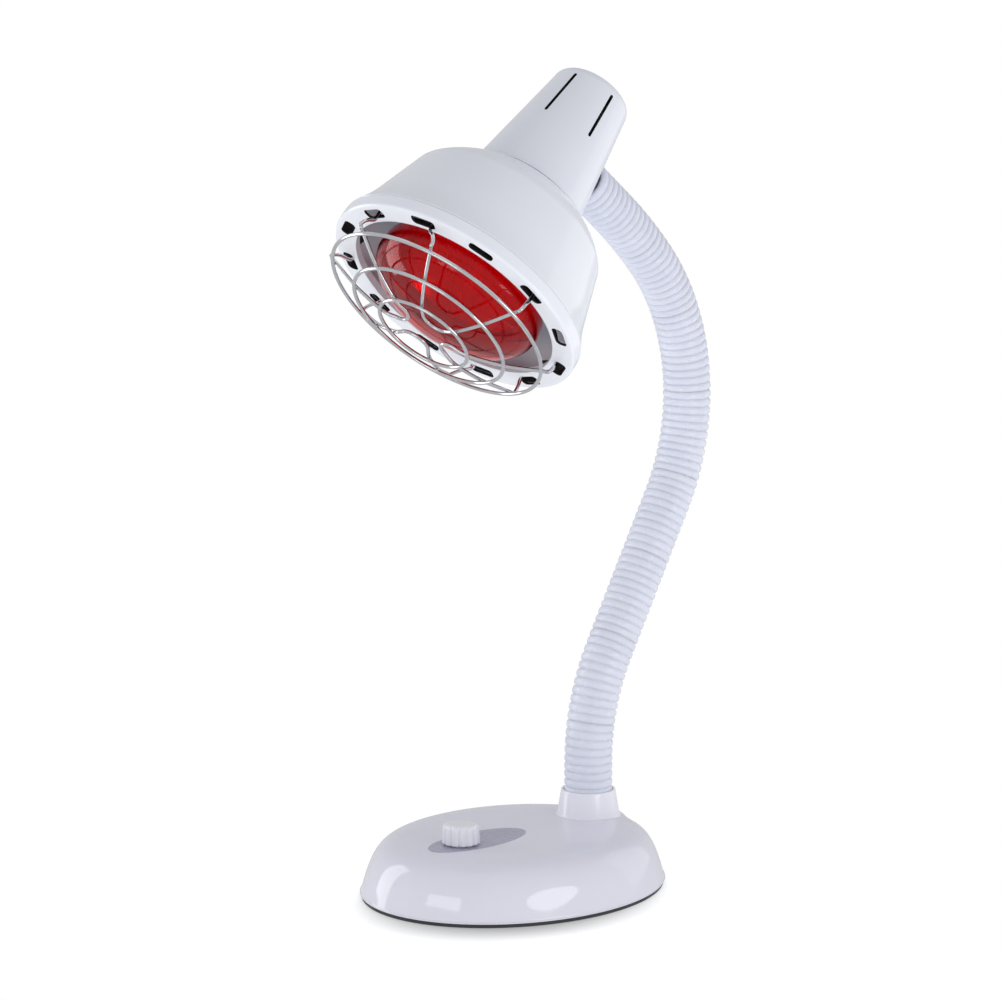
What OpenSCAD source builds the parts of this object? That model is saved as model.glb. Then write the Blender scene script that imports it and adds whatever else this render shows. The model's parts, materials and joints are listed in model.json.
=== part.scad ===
// Infrared heat lamp on a flexible arm.
// An oval weighted base carries a collar, a ribbed hose over a jointed metal arm, and a conical
// shade with a wire guard over a red reflector bulb. Millimetres. +Z is up, the front faces -Y,
// the origin is the centre of the underside, and the arm's plane is x = 0. The turn of the cooling
// slots and the hang of the guard differ from side to side.

/* [Base] */
// Half width of the oval base
base_rx = 73.3; // [68:0.1:80]
// Half length of the oval base
base_ry = 88.6; // [84:0.1:100]
// Height from the rim of the shell to the top of its dome
dome_rise = 29.3; // [27:0.1:34]
// How square the dome's cross section is
dome_square = 14; // [8:0.5:16]
// How soft the dome's upper edge is
dome_edge = 1.2; // [1:0.05:1.6]
// Wall of the base shell
shell_wall = 2.4; // [1.8:0.1:3]
// Thickness of the dark pad under the base
pad_t = 1.2; // [1:0.1:2.5]
// How far the pad stands in from the shell's edge
pad_inset = 1.2; // [1:0.1:3]
// Thickness of the steel bottom plate
plate_t = 1.5; // [1:0.1:2.5]
// Thickness of the cast iron ballast
ballast_t = 9; // [6:0.5:10]

/* [Base fittings] */
// Distance of the case screws from the middle of the base, sideways
case_screw_x = 40; // [36:0.5:44]
// Distance of the case screws from the middle of the base, lengthways
case_screw_y = 44; // [40:0.5:48]
// Shank diameter of the case screws
case_screw_d = 3.5; // [3:0.1:4]
// Length of the oval badge plate
badge_l = 66; // [60:0.5:70]
// Width of the oval badge plate
badge_w = 29.5; // [28:0.5:34]
// Thickness of the badge plate
badge_t = 1; // [0.6:0.1:1.4]
// Distance of the badge's middle ahead of the base's middle
badge_y = 27; // [25:0.5:30]
// Distance of the knob ahead of the base's middle
knob_y = 39; // [36:0.5:44]
// Diameter of the knob
knob_d = 20; // [18:0.1:22]
// Height of the knob
knob_h = 10.6; // [9:0.1:13]
// Diameter of the control's shaft
shaft_d = 6; // [5:0.1:6.4]
// Diameter of the control's threaded bush
bush_d = 10; // [9:0.1:10.5]
// Width of the control's housing
control_w = 26; // [22:0.5:30]
// Depth of the control's housing
control_h = 8; // [6:0.5:9]
// Width of the circuit board
board_w = 54; // [46:1:58]
// Length of the circuit board
board_l = 34; // [30:1:36]
// Bore of the cord's inlet bush
inlet_bore_d = 6.4; // [6:0.1:8]
// Height of the cord's inlet above the ground
inlet_z = 13; // [12:0.5:15]

/* [Collar and hose] */
// Distance of the hose's foot behind the base's middle
hose_y = 57; // [52:0.5:60]
// Height of the collar above its seat
collar_h = 14.3; // [12:0.1:17]
// Outer diameter of the collar's rim
collar_top_d = 29.2; // [28.8:0.1:31]
// Outer diameter of the collar just above its lip
collar_foot_d = 33.6; // [32:0.1:37]
// Diameter of the collar's lip
collar_lip_d = 37.4; // [36:0.1:40]
// Outer diameter of the ribbed hose over its ribs
hose_d = 26; // [24:0.1:27]
// Depth of the hose's grooves
rib_depth = 0.9; // [0.7:0.1:1.4]
// Wall of the hose at the bottom of a groove
hose_wall = 2; // [1.6:0.1:2.4]
// Straight run of the hose above its foot
foot_run = 27.6; // [26:0.1:40]
// Radius of the lower bend
lower_bend_r = 114; // [90:1:150]
// Lean of the hose towards the rear after the lower bend
back_lean = 30.3; // [20:0.1:36]
// Straight run between the bends
mid_run = 90; // [60:1:110]
// Radius of the upper bend
upper_bend_r = 112; // [90:1:150]
// Forward lean where the upper bend eases off
ease_lean = 43; // [36:0.5:48]
// Radius of the eased end of the upper bend
ease_bend_r = 257; // [180:1:320]
// Straight run of the hose before the head
tip_run = 26; // [26:0.5:36]
// Ribs on each moving length of hose
link_ribs = 11; // [10:1:12]
// Ribs on the fixed length at each end
stub_ribs = 6; // [6:1:8]
// Sides of the ribs and the bore
rib_sides = 8; // [8:1:8]

/* [Arm] */
// Diameter of the metal arm's tube
arm_d = 12; // [11:0.1:13]
// Cable bore of the arm
arm_bore_d = 5; // [4:0.1:5.4]
// Diameter of the arm's ball ends
ball_d = 11; // [10.6:0.1:11.6]
// Diameter of the sockets round the balls
socket_d = 14.4; // [13.8:0.1:15]
// Radial play of a ball in its socket
ball_play = 0.06; // [0.03:0.01:0.1]
// Diameter of the ferrules inside the hose
ferrule_d = 16.6; // [15:0.1:17.4]
// Thread of the foot ferrule
foot_thread_d = 16; // [14:0.5:16.4]
// Thread of the head ferrule
tip_thread_d = 10; // [9:0.5:11]

/* [Head] */
// Angle of the bulb's axis below the horizontal
head_tilt = 44.3; // [35:0.1:50]
// Distance from the opening's plane to where the hose meets the neck
neck_station = 106; // [100:0.5:112]
// Outer radius of the neck at its foot
neck_foot_r = 32; // [31:0.1:34]
// Outer radius of the neck at its top
neck_top_r = 22; // [21:0.1:24]
// Length of the neck
neck_l = 73; // [68:0.5:78]
// Wall of the neck
neck_wall = 2.2; // [1.6:0.1:2.8]
// Radius of the edge at the neck's closed top
neck_round = 6; // [4:0.5:8]
// Turn of the first cooling slot round the neck
vent_turn = -15; // [-20:0.5:-12]
// Distance of the cooling slots from the neck's closed top
vent_drop = 6.6; // [6:0.1:10]
// Width of a cooling slot
vent_w = 1.8; // [1.4:0.1:2.4]
// Length of a cooling slot
vent_l = 29.6; // [22:0.1:31]
// Height of the shade from the opening's plane to its flat top
shade_h = 71.5; // [70:0.5:76]
// Outer radius of the shade where it meets the bezel
shade_rim_r = 71; // [69:0.1:74]
// Outer radius of the shade at its waist
shade_waist_r = 63.1; // [61:0.1:65]
// Distance of the waist from the opening's plane
shade_waist_z = 26.8; // [22:0.1:30]
// Outer radius where the shoulder starts
shoulder_r = 55.5; // [53:0.1:58]
// Distance of the shoulder's start from the opening's plane
shoulder_z = 52; // [48:0.5:55]
// Wall of the shade
shade_wall = 1.4; // [1:0.1:2]
// Radius of the opening in the bezel
opening_r = 58.5; // [56:0.1:60]
// Depth of the bezel's side wall
bezel_h = 7; // [6:0.1:9]
// Wall of the bezel
bezel_wall = 1.4; // [1:0.1:2]
// Number of slots in the bezel
slot_count = 12; // [8:1:12]
// Radius of the circle on which the slots lie
slot_ring_r = 64.5; // [63.5:0.1:65]
// Length of a slot
slot_l = 14; // [12:0.5:16]
// Width of a slot
slot_w = 6.4; // [5:0.1:7]

/* [Guard] */
// Diameter of the guard's wire
wire_d = 2; // [1.6:0.1:2.4]
// Radius of the guard's outer ring
guard_r1 = 62; // [61:0.1:63]
// Radius of the guard's middle ring
guard_r2 = 44.4; // [43:0.1:46]
// Radius of the guard's inner ring
guard_r3 = 26; // [24:0.1:28]
// How far the outer ring stands ahead of the opening
guard_h1 = 13.1; // [12:0.1:15]
// How far the middle ring stands ahead of the opening
guard_h2 = 20.7; // [20:0.1:23]
// How far the inner ring stands ahead of the opening
guard_h3 = 25.8; // [25:0.1:28]
// Radius of the inner bend that joins two legs
guard_bend_r = 11; // [9:0.1:14]
// How far the guard hangs off the middle, sideways
guard_x = -1.5; // [-2:0.1:2]
// How far the guard hangs off the middle, towards its underside
guard_y = -2; // [-2:0.1:2]

/* [Bulb] */
// Diameter of the bulb
bulb_d = 95; // [90:0.5:97]
// How far the bulb's face stands ahead of the opening
bulb_out = 18; // [14:0.5:19]
// Height of the bulb's domed face
bulb_face_h = 23; // [20:0.5:26]
// Diameter of the bulb's stem
stem_d = 36; // [33:0.5:36.5]
// Wall of the glass
glass_t = 1.2; // [1:0.1:1.6]
// Diameter of the screw cap
cap_d = 26.2; // [26:0.1:26.4]
// Length of the screw cap
cap_l = 25; // [23:0.5:26]
// Length of the bulb's glass
glass_l = 110; // [108:0.5:113]

/* [Hidden] */

fine = 64;
oval_sides = 96;
eps = 0.01;
gap = 0.1;

body_colour = [0.86, 0.87, 0.93];
dark_colour = [0.12, 0.12, 0.14];
steel_colour = [0.70, 0.71, 0.73];
brass_colour = [0.80, 0.66, 0.36];

// ---------- base ----------
shell_z = pad_t;
dome_top = shell_z + dome_rise;
plate_z = pad_t;
plate_inset = shell_wall + 0.6;
ballast_z = plate_z + plate_t;
ballast_inset = shell_wall + 5.6;
badge_z = dome_height(badge_y) - 1;
badge_top = badge_z + badge_t;
knob_z = badge_top + 0.9;
seat_sink = 0.6;
seat_z = dome_height(hose_y) - seat_sink;
seat_r = collar_lip_d / 2 + 0.3;
seat_t = 4.5;
control_top = badge_z - shell_wall;
nut_af = 14;
nut_h = 2;
board_z = ballast_z + ballast_t + 3;
board_t = 1.6;
board_y = -6;
inlet_y = dome_reach(inlet_z) + 1;
inlet_flange_d = inlet_bore_d + 7;
inlet_flange_in = 1.6;
inlet_boss_r = inlet_flange_d / 2 + 1.5;
inlet_boss_l = 4.4;
inlet_lip_r = inlet_bore_d / 2 + 2.6;
inlet_boss_y = inlet_y - inlet_flange_in - inlet_boss_l;
bracket_t = 3;
bracket_w = 18;
bracket_z = seat_z - seat_t - bracket_t;
bracket_x = 19;
bracket_screw_x = bracket_x + 7;
foot_nut_h = 5;
case_screws_at = [
    for (side = [-1, 1])
        for (end = [-1, 1])
            [side * case_screw_x, end * case_screw_y]];

// ---------- hose ----------
foot_flange_t = 3;
hose_z = seat_z + foot_flange_t;
foot_socket = 6;
tip_gap = 1.8;
tip_boss_t = neck_wall + 2.4;
tip_nut_h = 3.2;
neck_taper = atan((neck_foot_r - neck_top_r) / neck_l);
end_lean = -(head_tilt + neck_taper);
runs = [
    [foot_run, 0],
    [arc_length(lower_bend_r, back_lean), back_lean],
    [mid_run, back_lean],
    [arc_length(upper_bend_r, back_lean + ease_lean), -ease_lean],
    [arc_length(ease_bend_r, -end_lean - ease_lean), end_lean],
    [tip_run, end_lean]];
hose_l = total([for (run = runs) run[0]]);
joints = 8;
rib_count = 2 * stub_ribs + (joints - 1) * link_ribs;
rib_pitch = hose_l / rib_count;
groove_r = hose_d / 2 - rib_depth;
hose_bore_r = groove_r - hose_wall;
guide_d = 2 * hose_bore_r * cos(180 / rib_sides) - 0.8;
// Ball joints stand at these distances along the hose
joint_s = [for (i = [0:joints - 1]) (stub_ribs + i * link_ribs) * rib_pitch];
joint_at = [for (s = joint_s) hose_at(s)];
tip_at = hose_at(hose_l);

// ---------- head ----------
neck_z = shade_h;
neck_wall_r = neck_foot_r - (neck_station - neck_z) * tan(neck_taper);
meet = [tip_at[0] + tip_gap * sin(end_lean), tip_at[1] + tip_gap * cos(end_lean)];
head_y = meet[0] - neck_station * cos(head_tilt) - neck_wall_r * sin(head_tilt);
head_z = meet[1] - neck_station * sin(head_tilt) + neck_wall_r * cos(head_tilt);
flange_t = 1.4;
flange_bore_r = stem_d / 2 + 1;
cap_z = glass_l - bulb_out;
holder_z = cap_z + 1;
holder_r = 18;
holder_l = 32;
strap_t = 1.5;
strap_w = 12;
strap_x = holder_r + 1;
strap_top = holder_z + holder_l + 0.2;
strap_foot_x = 24.5;
neck_screw_y = 26.5;
bulb_r = bulb_d / 2;
stem_r = stem_d / 2;
slot_turn = 20.2;
// The cooling slots lie 60 degrees apart; place 2 stays whole, because the arm's boss is there
vent_places = [0, 1, 3, 4, 5];
bend_steps = 10;
// Each wire of the guard: its middle, half the angle between its legs, and its two feet
guard_at = [[61, 21.5, 45.8, 84.4], [146.5, 26, 114.4, 172], [237, 24, 204.4, 259.5],
    [327.5, 25, 294.4, 352.5]];

echo(hose_length = hose_l, rib_pitch = rib_pitch, head = [0, head_y, head_z], seat = seat_z);
for (j = [0:joints - 1]) echo(joint = j + 1, y = joint_at[j][0], z = joint_at[j][1],
    lean = joint_at[j][2]);

// ---------- functions ----------
function total(list, i = 0) = i == len(list) ? 0 : list[i] + total(list, i + 1);
function arc_length(radius, angle) = radius * angle * PI / 180;

// Height of the dome's surface above the ground, on the middle line
function dome_height(y) =
    shell_z + dome_rise * pow(1 - pow(abs(y) / base_ry, dome_square), dome_edge);
// How far behind the middle the dome's surface reaches at a height
function dome_reach(z) =
    base_ry * pow(1 - pow((z - shell_z) / dome_rise, 1 / dome_edge), 1 / dome_square);

// Place and lean of the hose's centre line at a distance along it: [y, z, lean]
function along(from, run, s) =
    let (turn = run[1] - from[2], lean = from[2] + turn * s / run[0])
        abs(turn) < eps
            ? [from[0] + s * sin(lean), from[1] + s * cos(lean), lean]
            : let (r = run[0] / (turn * PI / 180))
                [from[0] + r * (cos(from[2]) - cos(lean)),
                    from[1] + r * (sin(lean) - sin(from[2])), lean];
function hose_at(s, i = 0, from = [hose_y, hose_z, 0]) =
    i == len(runs) - 1 || s <= runs[i][0]
        ? along(from, runs[i], s)
        : hose_at(s - runs[i][0], i + 1, along(from, runs[i], runs[i][0]));

// One ring of points across the hose
function hose_ring(s, r) =
    let (p = hose_at(s))
        [for (j = [0:rib_sides - 1])
            let (a = 360 * j / rib_sides)
                [r * cos(a), p[0] + r * sin(a) * cos(p[2]), p[1] - r * sin(a) * sin(p[2])]];

// Triangles that join ring after ring; closed also joins the last ring to the first
function skin(rings, sides, closed) = [
    for (i = [0:rings - (closed ? 1 : 2)])
        for (j = [0:sides - 1])
            let (k = (j + 1) % sides, a = i * sides, b = ((i + 1) % rings) * sides)
                each [[a + j, b + k, a + k], [a + j, b + j, b + k]]];
function fan(start, sides, up) = [
    for (j = [1:sides - 2])
        up ? [start, start + j + 1, start + j] : [start, start + j, start + j + 1]];
function flat(lists) = [for (list = lists) each list];

// A tube through points, with its rings turned along the path without twist
function unit(v) = v / norm(v);
function tangent(path, i) =
    unit(path[min(i + 1, len(path) - 1)] - path[max(i - 1, 0)]);
function carried(v, t) = unit(v - (v * t) * t);
function normals(path, first, i = 0) =
    i == len(path) ? [] :
        let (n = carried(first, tangent(path, i)))
            concat([n], normals(path, n, i + 1));
function turn(p, a) = [p[0] * cos(a) - p[1] * sin(a), p[0] * sin(a) + p[1] * cos(a), p[2]];

// ---------- shared shapes ----------
module oval(inset, h) {
    linear_extrude(h)
        polygon([
            for (j = [0:oval_sides - 1])
                let (a = 360 * j / oval_sides)
                    [(base_rx - inset) * cos(a), (base_ry - inset) * sin(a)]]);
}

// The dome's solid, drawn in by a wall all round
module dome(wall) {
    steps = 12;
    sides = 60;
    sizes = [for (i = [0:steps]) max(cos(90 * pow(i / steps, 0.8)), 0.02)];
    rise = dome_rise - wall;
    levels = [for (size = sizes) [size, shell_z + rise * pow(1 - pow(size, dome_square), dome_edge)]];
    rings = [
        for (level = wall > 0 ? concat([[1, -1]], levels) : levels)
            [for (j = [0:sides - 1])
                let (a = 360 * j / sides)
                    [(base_rx - wall) * level[0] * cos(a), (base_ry - wall) * level[0] * sin(a), level[1]]]];
    polyhedron(flat(rings), concat(skin(len(rings), sides, false), fan(0, sides, false),
        fan((len(rings) - 1) * sides, sides, true)));
}

module ring(outer_r, inner_r, h) {
    difference() {
        cylinder(r = outer_r, h = h, $fn = fine);
        translate([0, 0, -1]) cylinder(r = inner_r, h = h + 2, $fn = fine);
    }
}

module hex_nut(across, bore_r, h) {
    difference() {
        cylinder(r = across / 2 / cos(30), h = h, $fn = 6);
        translate([0, 0, -1]) cylinder(r = bore_r, h = h + 2, $fn = fine);
    }
}

// Head of the screw below z = 0, shank above it
module screw(shank_r, shank_l, head_r, head_h) {
    difference() {
        union() {
            translate([0, 0, -head_h / 2]) cylinder(r = shank_r, h = shank_l + head_h / 2, $fn = fine);
            translate([0, 0, -head_h]) cylinder(r = head_r, h = head_h, $fn = fine);
        }
        for (a = [0, 90])
            rotate([0, 0, a]) translate([-head_r * 0.6, -0.4, -head_h - 1])
                cube([head_r * 1.2, 0.8, 1.8]);
    }
}

module on_hose(s) {
    p = hose_at(s);
    translate([0, p[0], p[1]]) rotate([-p[2], 0, 0]) children();
}

module in_head() {
    translate([0, head_y, head_z]) rotate([head_tilt - 90, 0, 0]) children();
}

// A solid of revolution with a wall, from [radius, height] points up its outside
module turned(outer, inner) {
    rotate_extrude($fn = fine)
        polygon(concat(outer, [for (i = [len(inner) - 1:-1:0]) inner[i]]));
}

module wire(path, r, sides) {
    first = carried([0.3, 0.5, 0.81], tangent(path, 0));
    across = normals(path, first);
    points = [
        for (i = [0:len(path) - 1])
            for (j = [0:sides - 1])
                let (t = tangent(path, i), u = across[i], v = cross(t, u), a = 360 * j / sides)
                    path[i] + r * (cos(a) * u + sin(a) * v)];
    polyhedron(points, concat(skin(len(path), sides, false), fan(0, sides, false),
        fan((len(path) - 1) * sides, sides, true)));
}

// ---------- base parts ----------
module case_holes(r, from, to) {
    for (p = case_screws_at)
        translate([p[0], p[1], from]) cylinder(r = r, h = to - from, $fn = fine);
}

module base_pad() {
    color(dark_colour)
        difference() {
            oval(pad_inset, pad_t);
            case_holes(case_screw_d / 2 + 2.6, -1, pad_t + 1);
        }
}

module base_plate() {
    color(steel_colour)
        difference() {
            translate([0, 0, plate_z]) oval(plate_inset, plate_t);
            case_holes(case_screw_d / 2 + 0.2, 0, ballast_z + 1);
        }
}

module ballast() {
    color([0.30, 0.31, 0.33])
        difference() {
            translate([0, 0, ballast_z]) oval(ballast_inset, ballast_t);
            case_holes(case_screw_d / 2 + 0.2, 0, 60);
            // room for the inlet's boss and bush
            translate([0, inlet_boss_y - 3, inlet_z]) rotate([-90, 0, 0])
                cylinder(r = inlet_boss_r + 0.5, h = 20, $fn = fine);
            for (side = [-1, 1])
                translate([side * bracket_screw_x, hose_y, ballast_z + 1.5])
                    cylinder(r = 1.6, h = ballast_t, $fn = fine);
        }
}

module base_shell() {
    boss_top = dome_top - shell_wall;
    boss_low = ballast_z + ballast_t + 0.2;
    color(body_colour)
        difference() {
            union() {
                difference() {
                    dome(0);
                    dome(shell_wall);
                }
                case_holes(4, boss_low, boss_top);
                // flat seats under the badge and the collar
                translate([0, -knob_y, control_top]) cylinder(r = 15, h = shell_wall, $fn = fine);
                translate([0, hose_y, seat_z - seat_t]) cylinder(r = seat_r, h = seat_t, $fn = fine);
                // boss behind the inlet bush
                translate([0, inlet_boss_y, inlet_z]) rotate([-90, 0, 0])
                    cylinder(r = inlet_boss_r, h = inlet_boss_l, $fn = fine);
            }
            badge_recess();
            translate([0, -knob_y, 0]) cylinder(r = bush_d / 2 + gap, h = 60, $fn = fine);
            translate([0, hose_y, seat_z]) cylinder(r = seat_r, h = 20, $fn = fine);
            translate([0, hose_y, 0]) cylinder(r = foot_thread_d / 2 + gap, h = 60, $fn = fine);
            case_holes(case_screw_d / 2 - 0.02, 0, boss_top - 2);
            translate([0, inlet_y - inlet_flange_in, inlet_z]) rotate([-90, 0, 0])
                cylinder(r = inlet_flange_d / 2 + gap, h = 10, $fn = fine);
            translate([0, inlet_boss_y - 3, inlet_z]) rotate([-90, 0, 0])
                cylinder(r = inlet_lip_r + gap, h = 3, $fn = fine);
            translate([0, inlet_y - 12, inlet_z]) rotate([-90, 0, 0])
                cylinder(r = inlet_bore_d / 2 + 1.5 + gap, h = 20, $fn = fine);
        }
}

module badge_recess() {
    translate([0, -badge_y, badge_z])
        linear_extrude(10)
            polygon([
                for (i = [0:47])
                    let (a = 7.5 * i)
                        [(badge_w / 2 + gap) * cos(a), (badge_l / 2 + gap) * sin(a)]]);
}

module case_screws() {
    color(steel_colour)
        for (p = case_screws_at)
            translate([p[0], p[1], plate_z])
                screw(case_screw_d / 2 - 0.02, dome_top - shell_wall - 5 - plate_z, 3.6, pad_t - 0.2);
}

module badge_plate() {
    color([0.55, 0.56, 0.62])
        difference() {
            translate([0, -badge_y, badge_z])
                linear_extrude(badge_t)
                    polygon([for (i = [0:47]) let (a = 7.5 * i) [badge_w / 2 * cos(a), badge_l / 2 * sin(a)]]);
            translate([0, -knob_y, 0]) cylinder(r = bush_d / 2 + gap, h = 60, $fn = fine);
        }
}

module control_housing() {
    color([0.20, 0.22, 0.28])
        difference() {
            union() {
                translate([-control_w / 2, -knob_y - control_w / 2, control_top - control_h])
                    cube([control_w, control_w, control_h]);
                translate([0, -knob_y, control_top - eps])
                    cylinder(r = bush_d / 2, h = badge_top + nut_h + 0.4 - control_top, $fn = fine);
                for (x = [-1, 0, 1])
                    translate([x * 6 - 1, -knob_y + control_w / 2 - eps, control_top - control_h + 2])
                        cube([2, 5, 0.8]);
            }
            translate([0, -knob_y, control_top - control_h + 2])
                cylinder(r = shaft_d / 2 + 0.05, h = 40, $fn = fine);
        }
}

module control_nut() {
    color(steel_colour)
        translate([0, -knob_y, badge_top]) hex_nut(nut_af, bush_d / 2 + 0.02, nut_h);
}

module control_shaft() {
    foot = control_top - control_h + 2.1;
    color(steel_colour)
        translate([0, -knob_y, foot])
            difference() {
                cylinder(r = shaft_d / 2, h = knob_z + knob_h - 2.4 - foot, $fn = fine);
                translate([shaft_d / 2 - 1.2, -5, knob_z + 3.2 - foot]) cube([5, 10, 20]);
            }
}

module knob() {
    flutes = 14;
    color([0.93, 0.94, 0.97])
        translate([0, -knob_y, knob_z])
            difference() {
                rotate_extrude($fn = fine)
                    polygon(concat(
                        [[0, 0], [knob_d / 2, 0], [knob_d / 2 - 0.5, knob_h - 2]],
                        [for (a = [15:15:90])
                            [knob_d / 2 - 2.5 + 2 * cos(a), knob_h - 2 + 2 * sin(a)]],
                        [[0, knob_h]]));
                for (i = [0:flutes - 1])
                    rotate([0, 0, 360 * i / flutes]) translate([knob_d / 2 + 0.9, 0, -1])
                        cylinder(r = 1.5, h = knob_h - 1.2, $fn = 24);
                translate([0, 0, -1]) cylinder(r = nut_af / 2 / cos(30) + 0.4, h = nut_h + 2, $fn = fine);
                difference() {
                    cylinder(r = shaft_d / 2 + 0.02, h = knob_h - 2.3, $fn = fine);
                    translate([shaft_d / 2 - 1.18, -5, 3.2]) cube([5, 10, 20]);
                }
            }
}

module circuit_board() {
    color([0.16, 0.42, 0.26])
        difference() {
            union() {
                translate([-board_w / 2, board_y - board_l / 2, board_z]) cube([board_w, board_l, board_t]);
                for (x = [-1, 1])
                    for (y = [-1, 1])
                        translate([x * (board_w / 2 - 4), board_y + y * (board_l / 2 - 4),
                            ballast_z + ballast_t])
                            cylinder(r = 2.5, h = board_z - ballast_z - ballast_t + eps, $fn = fine);
            }
            translate([-board_w / 2 + 10, board_y - board_l / 2 + 3, board_z - 1]) cube([10, 1.2, 4]);
        }
}

module choke() {
    color([0.72, 0.42, 0.20])
        translate([-14, board_y + 5, board_z + board_t])
            ring(8, 3, 7);
}

module capacitor() {
    color([0.75, 0.20, 0.16])
        translate([-3, board_y - 13, board_z + board_t]) cube([16, 7, 8]);
}

module heat_sink() {
    color([0.62, 0.63, 0.66])
        translate([4, board_y + 1, board_z + board_t]) {
            cube([18, 12, 1.6]);
            for (i = [0:3]) translate([i * 5.2, 0, 1.6 - eps]) cube([1.4, 12, 5.6]);
        }
}

module terminal_block() {
    color([0.92, 0.92, 0.88])
        translate([-12, 16, ballast_z + ballast_t])
            difference() {
                cube([24, 12, 9]);
                for (i = [0:2])
                    translate([4 + i * 8, 6, 3]) cylinder(r = 2, h = 10, $fn = fine);
            }
}

module inlet_bush() {
    r = inlet_bore_d / 2;
    color(dark_colour)
        translate([0, inlet_y, inlet_z]) rotate([-90, 0, 0])
            difference() {
                union() {
                    translate([0, 0, -inlet_flange_in])
                        cylinder(r = inlet_flange_d / 2, h = inlet_flange_in + 1, $fn = fine);
                    translate([0, 0, -6.1]) cylinder(r = r + 1.5, h = 6, $fn = fine);
                    translate([0, 0, -8]) cylinder(r = inlet_lip_r, h = 1.9, $fn = fine);
                }
                translate([0, 0, -9]) cylinder(r = r, h = 12, $fn = fine);
            }
}

module arm_bracket() {
    foot_z = ballast_z + ballast_t;
    color(steel_colour)
        translate([0, hose_y, 0])
            difference() {
                union() {
                    translate([-bracket_x, -bracket_w / 2, bracket_z]) cube([2 * bracket_x, bracket_w, bracket_t]);
                    for (side = [-1, 1]) {
                        translate([side * (bracket_x - 1.25) - 1.25, -bracket_w / 2, foot_z])
                            cube([2.5, bracket_w, bracket_z + bracket_t - foot_z]);
                        translate([side * bracket_screw_x - 7, -7, foot_z]) cube([14, 14, 2.5]);
                    }
                }
                cylinder(r = foot_thread_d / 2 + gap, h = 60, $fn = fine);
                for (side = [-1, 1])
                    translate([side * bracket_screw_x, 0, 0]) cylinder(r = 1.7, h = 60, $fn = fine);
            }
}

module bracket_screws() {
    color(steel_colour)
        for (side = [-1, 1])
            translate([side * bracket_screw_x, hose_y, ballast_z + ballast_t + 2.5])
                mirror([0, 0, 1]) screw(1.58, 8, 2.9, 1.6);
}

module collar() {
    color(body_colour)
        translate([0, hose_y, seat_z])
            difference() {
                rotate_extrude($fn = fine)
                    polygon([[0, 0], [collar_lip_d / 2 - 0.3, 0], [collar_lip_d / 2, 0.4],
                        [collar_lip_d / 2 - 0.1, 1.1], [collar_foot_d / 2, 1.7],
                        [collar_top_d / 2, collar_h - 0.4], [collar_top_d / 2 - 0.4, collar_h], [0, collar_h]]);
                translate([0, 0, -1]) cylinder(r = collar_top_d / 2 - 1, h = collar_h + 2, $fn = fine);
            }
}

module foot_ferrule() {
    color(steel_colour)
        translate([0, hose_y, seat_z])
            difference() {
                union() {
                    cylinder(r = hose_d / 2 - 0.4, h = foot_flange_t, $fn = fine);
                    cylinder(r = ferrule_d / 2, h = foot_flange_t + 9, $fn = fine);
                    translate([0, 0, -seat_t - bracket_t - foot_nut_h - 0.6])
                        cylinder(r = foot_thread_d / 2, h = seat_t + bracket_t + foot_nut_h + 1, $fn = fine);
                }
                translate([0, 0, -30]) cylinder(r = arm_bore_d / 2 + 1, h = 60, $fn = fine);
                translate([0, 0, foot_flange_t - foot_socket])
                    cylinder(r = arm_d / 2 + 0.02, h = 60, $fn = fine);
            }
}

module foot_nut() {
    color(steel_colour)
        translate([0, hose_y, bracket_z - foot_nut_h])
            hex_nut(24, foot_thread_d / 2 + 0.02, foot_nut_h);
}

// ---------- arm and hose ----------
// One length of ribbed hose with its bore, between two distances along the centre line
module hose_length(from, ribs) {
    outer = [for (i = [0:2 * ribs]) hose_ring(from + i * rib_pitch / 2, i % 2 == 0 ? groove_r : hose_d / 2)];
    inner = [for (i = [ribs:-1:0]) hose_ring(from + i * rib_pitch, hose_bore_r)];
    rings = concat(outer, inner);
    color([0.78, 0.81, 0.90])
        polyhedron(flat(rings), skin(len(rings), rib_sides, true));
}

module hose(i) {
    hose_length(i == 0 ? 0 : joint_s[i - 1], i == 0 || i == joints ? stub_ribs : link_ribs);
}

neck_r = ball_d / 2 * 0.64;
mouth = 1.8;
shoulder = 5.2;
sleeve_r = arm_d / 2 + 0.8;
sleeve_l = 6;
socket_l = 8.2;
guide_at = 4;
guide_t = 2;
rod_in = 6.6;
rod_in_sleeve = 2.9;
pocket = 0.6;

// The upper end of a link: a sleeve over the rod's end, a stem and a ball
module ball_end() {
    translate([0, 0, -shoulder - sleeve_l]) cylinder(r = sleeve_r, h = sleeve_l, $fn = fine);
    translate([0, 0, -shoulder - eps]) cylinder(r = neck_r, h = shoulder, $fn = fine);
    sphere(r = ball_d / 2, $fn = fine);
}

// The lower end of a link: the socket round the ball of the link below
module socket_end() {
    translate([0, 0, -mouth]) cylinder(r = socket_d / 2, h = mouth + socket_l, $fn = fine);
    translate([0, 0, guide_at]) cylinder(r = guide_d / 2, h = guide_t, $fn = fine);
}

module rod(from, to, r, past = 0) {
    d = to - from;
    translate(from) rotate([-atan2(d[1], d[2]), 0, 0])
        translate([0, 0, -past]) cylinder(r = r, h = norm(d) + 2 * past, $fn = fine);
}

function hose_point(s) = let (p = hose_at(s)) [0, p[0], p[1]];

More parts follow.
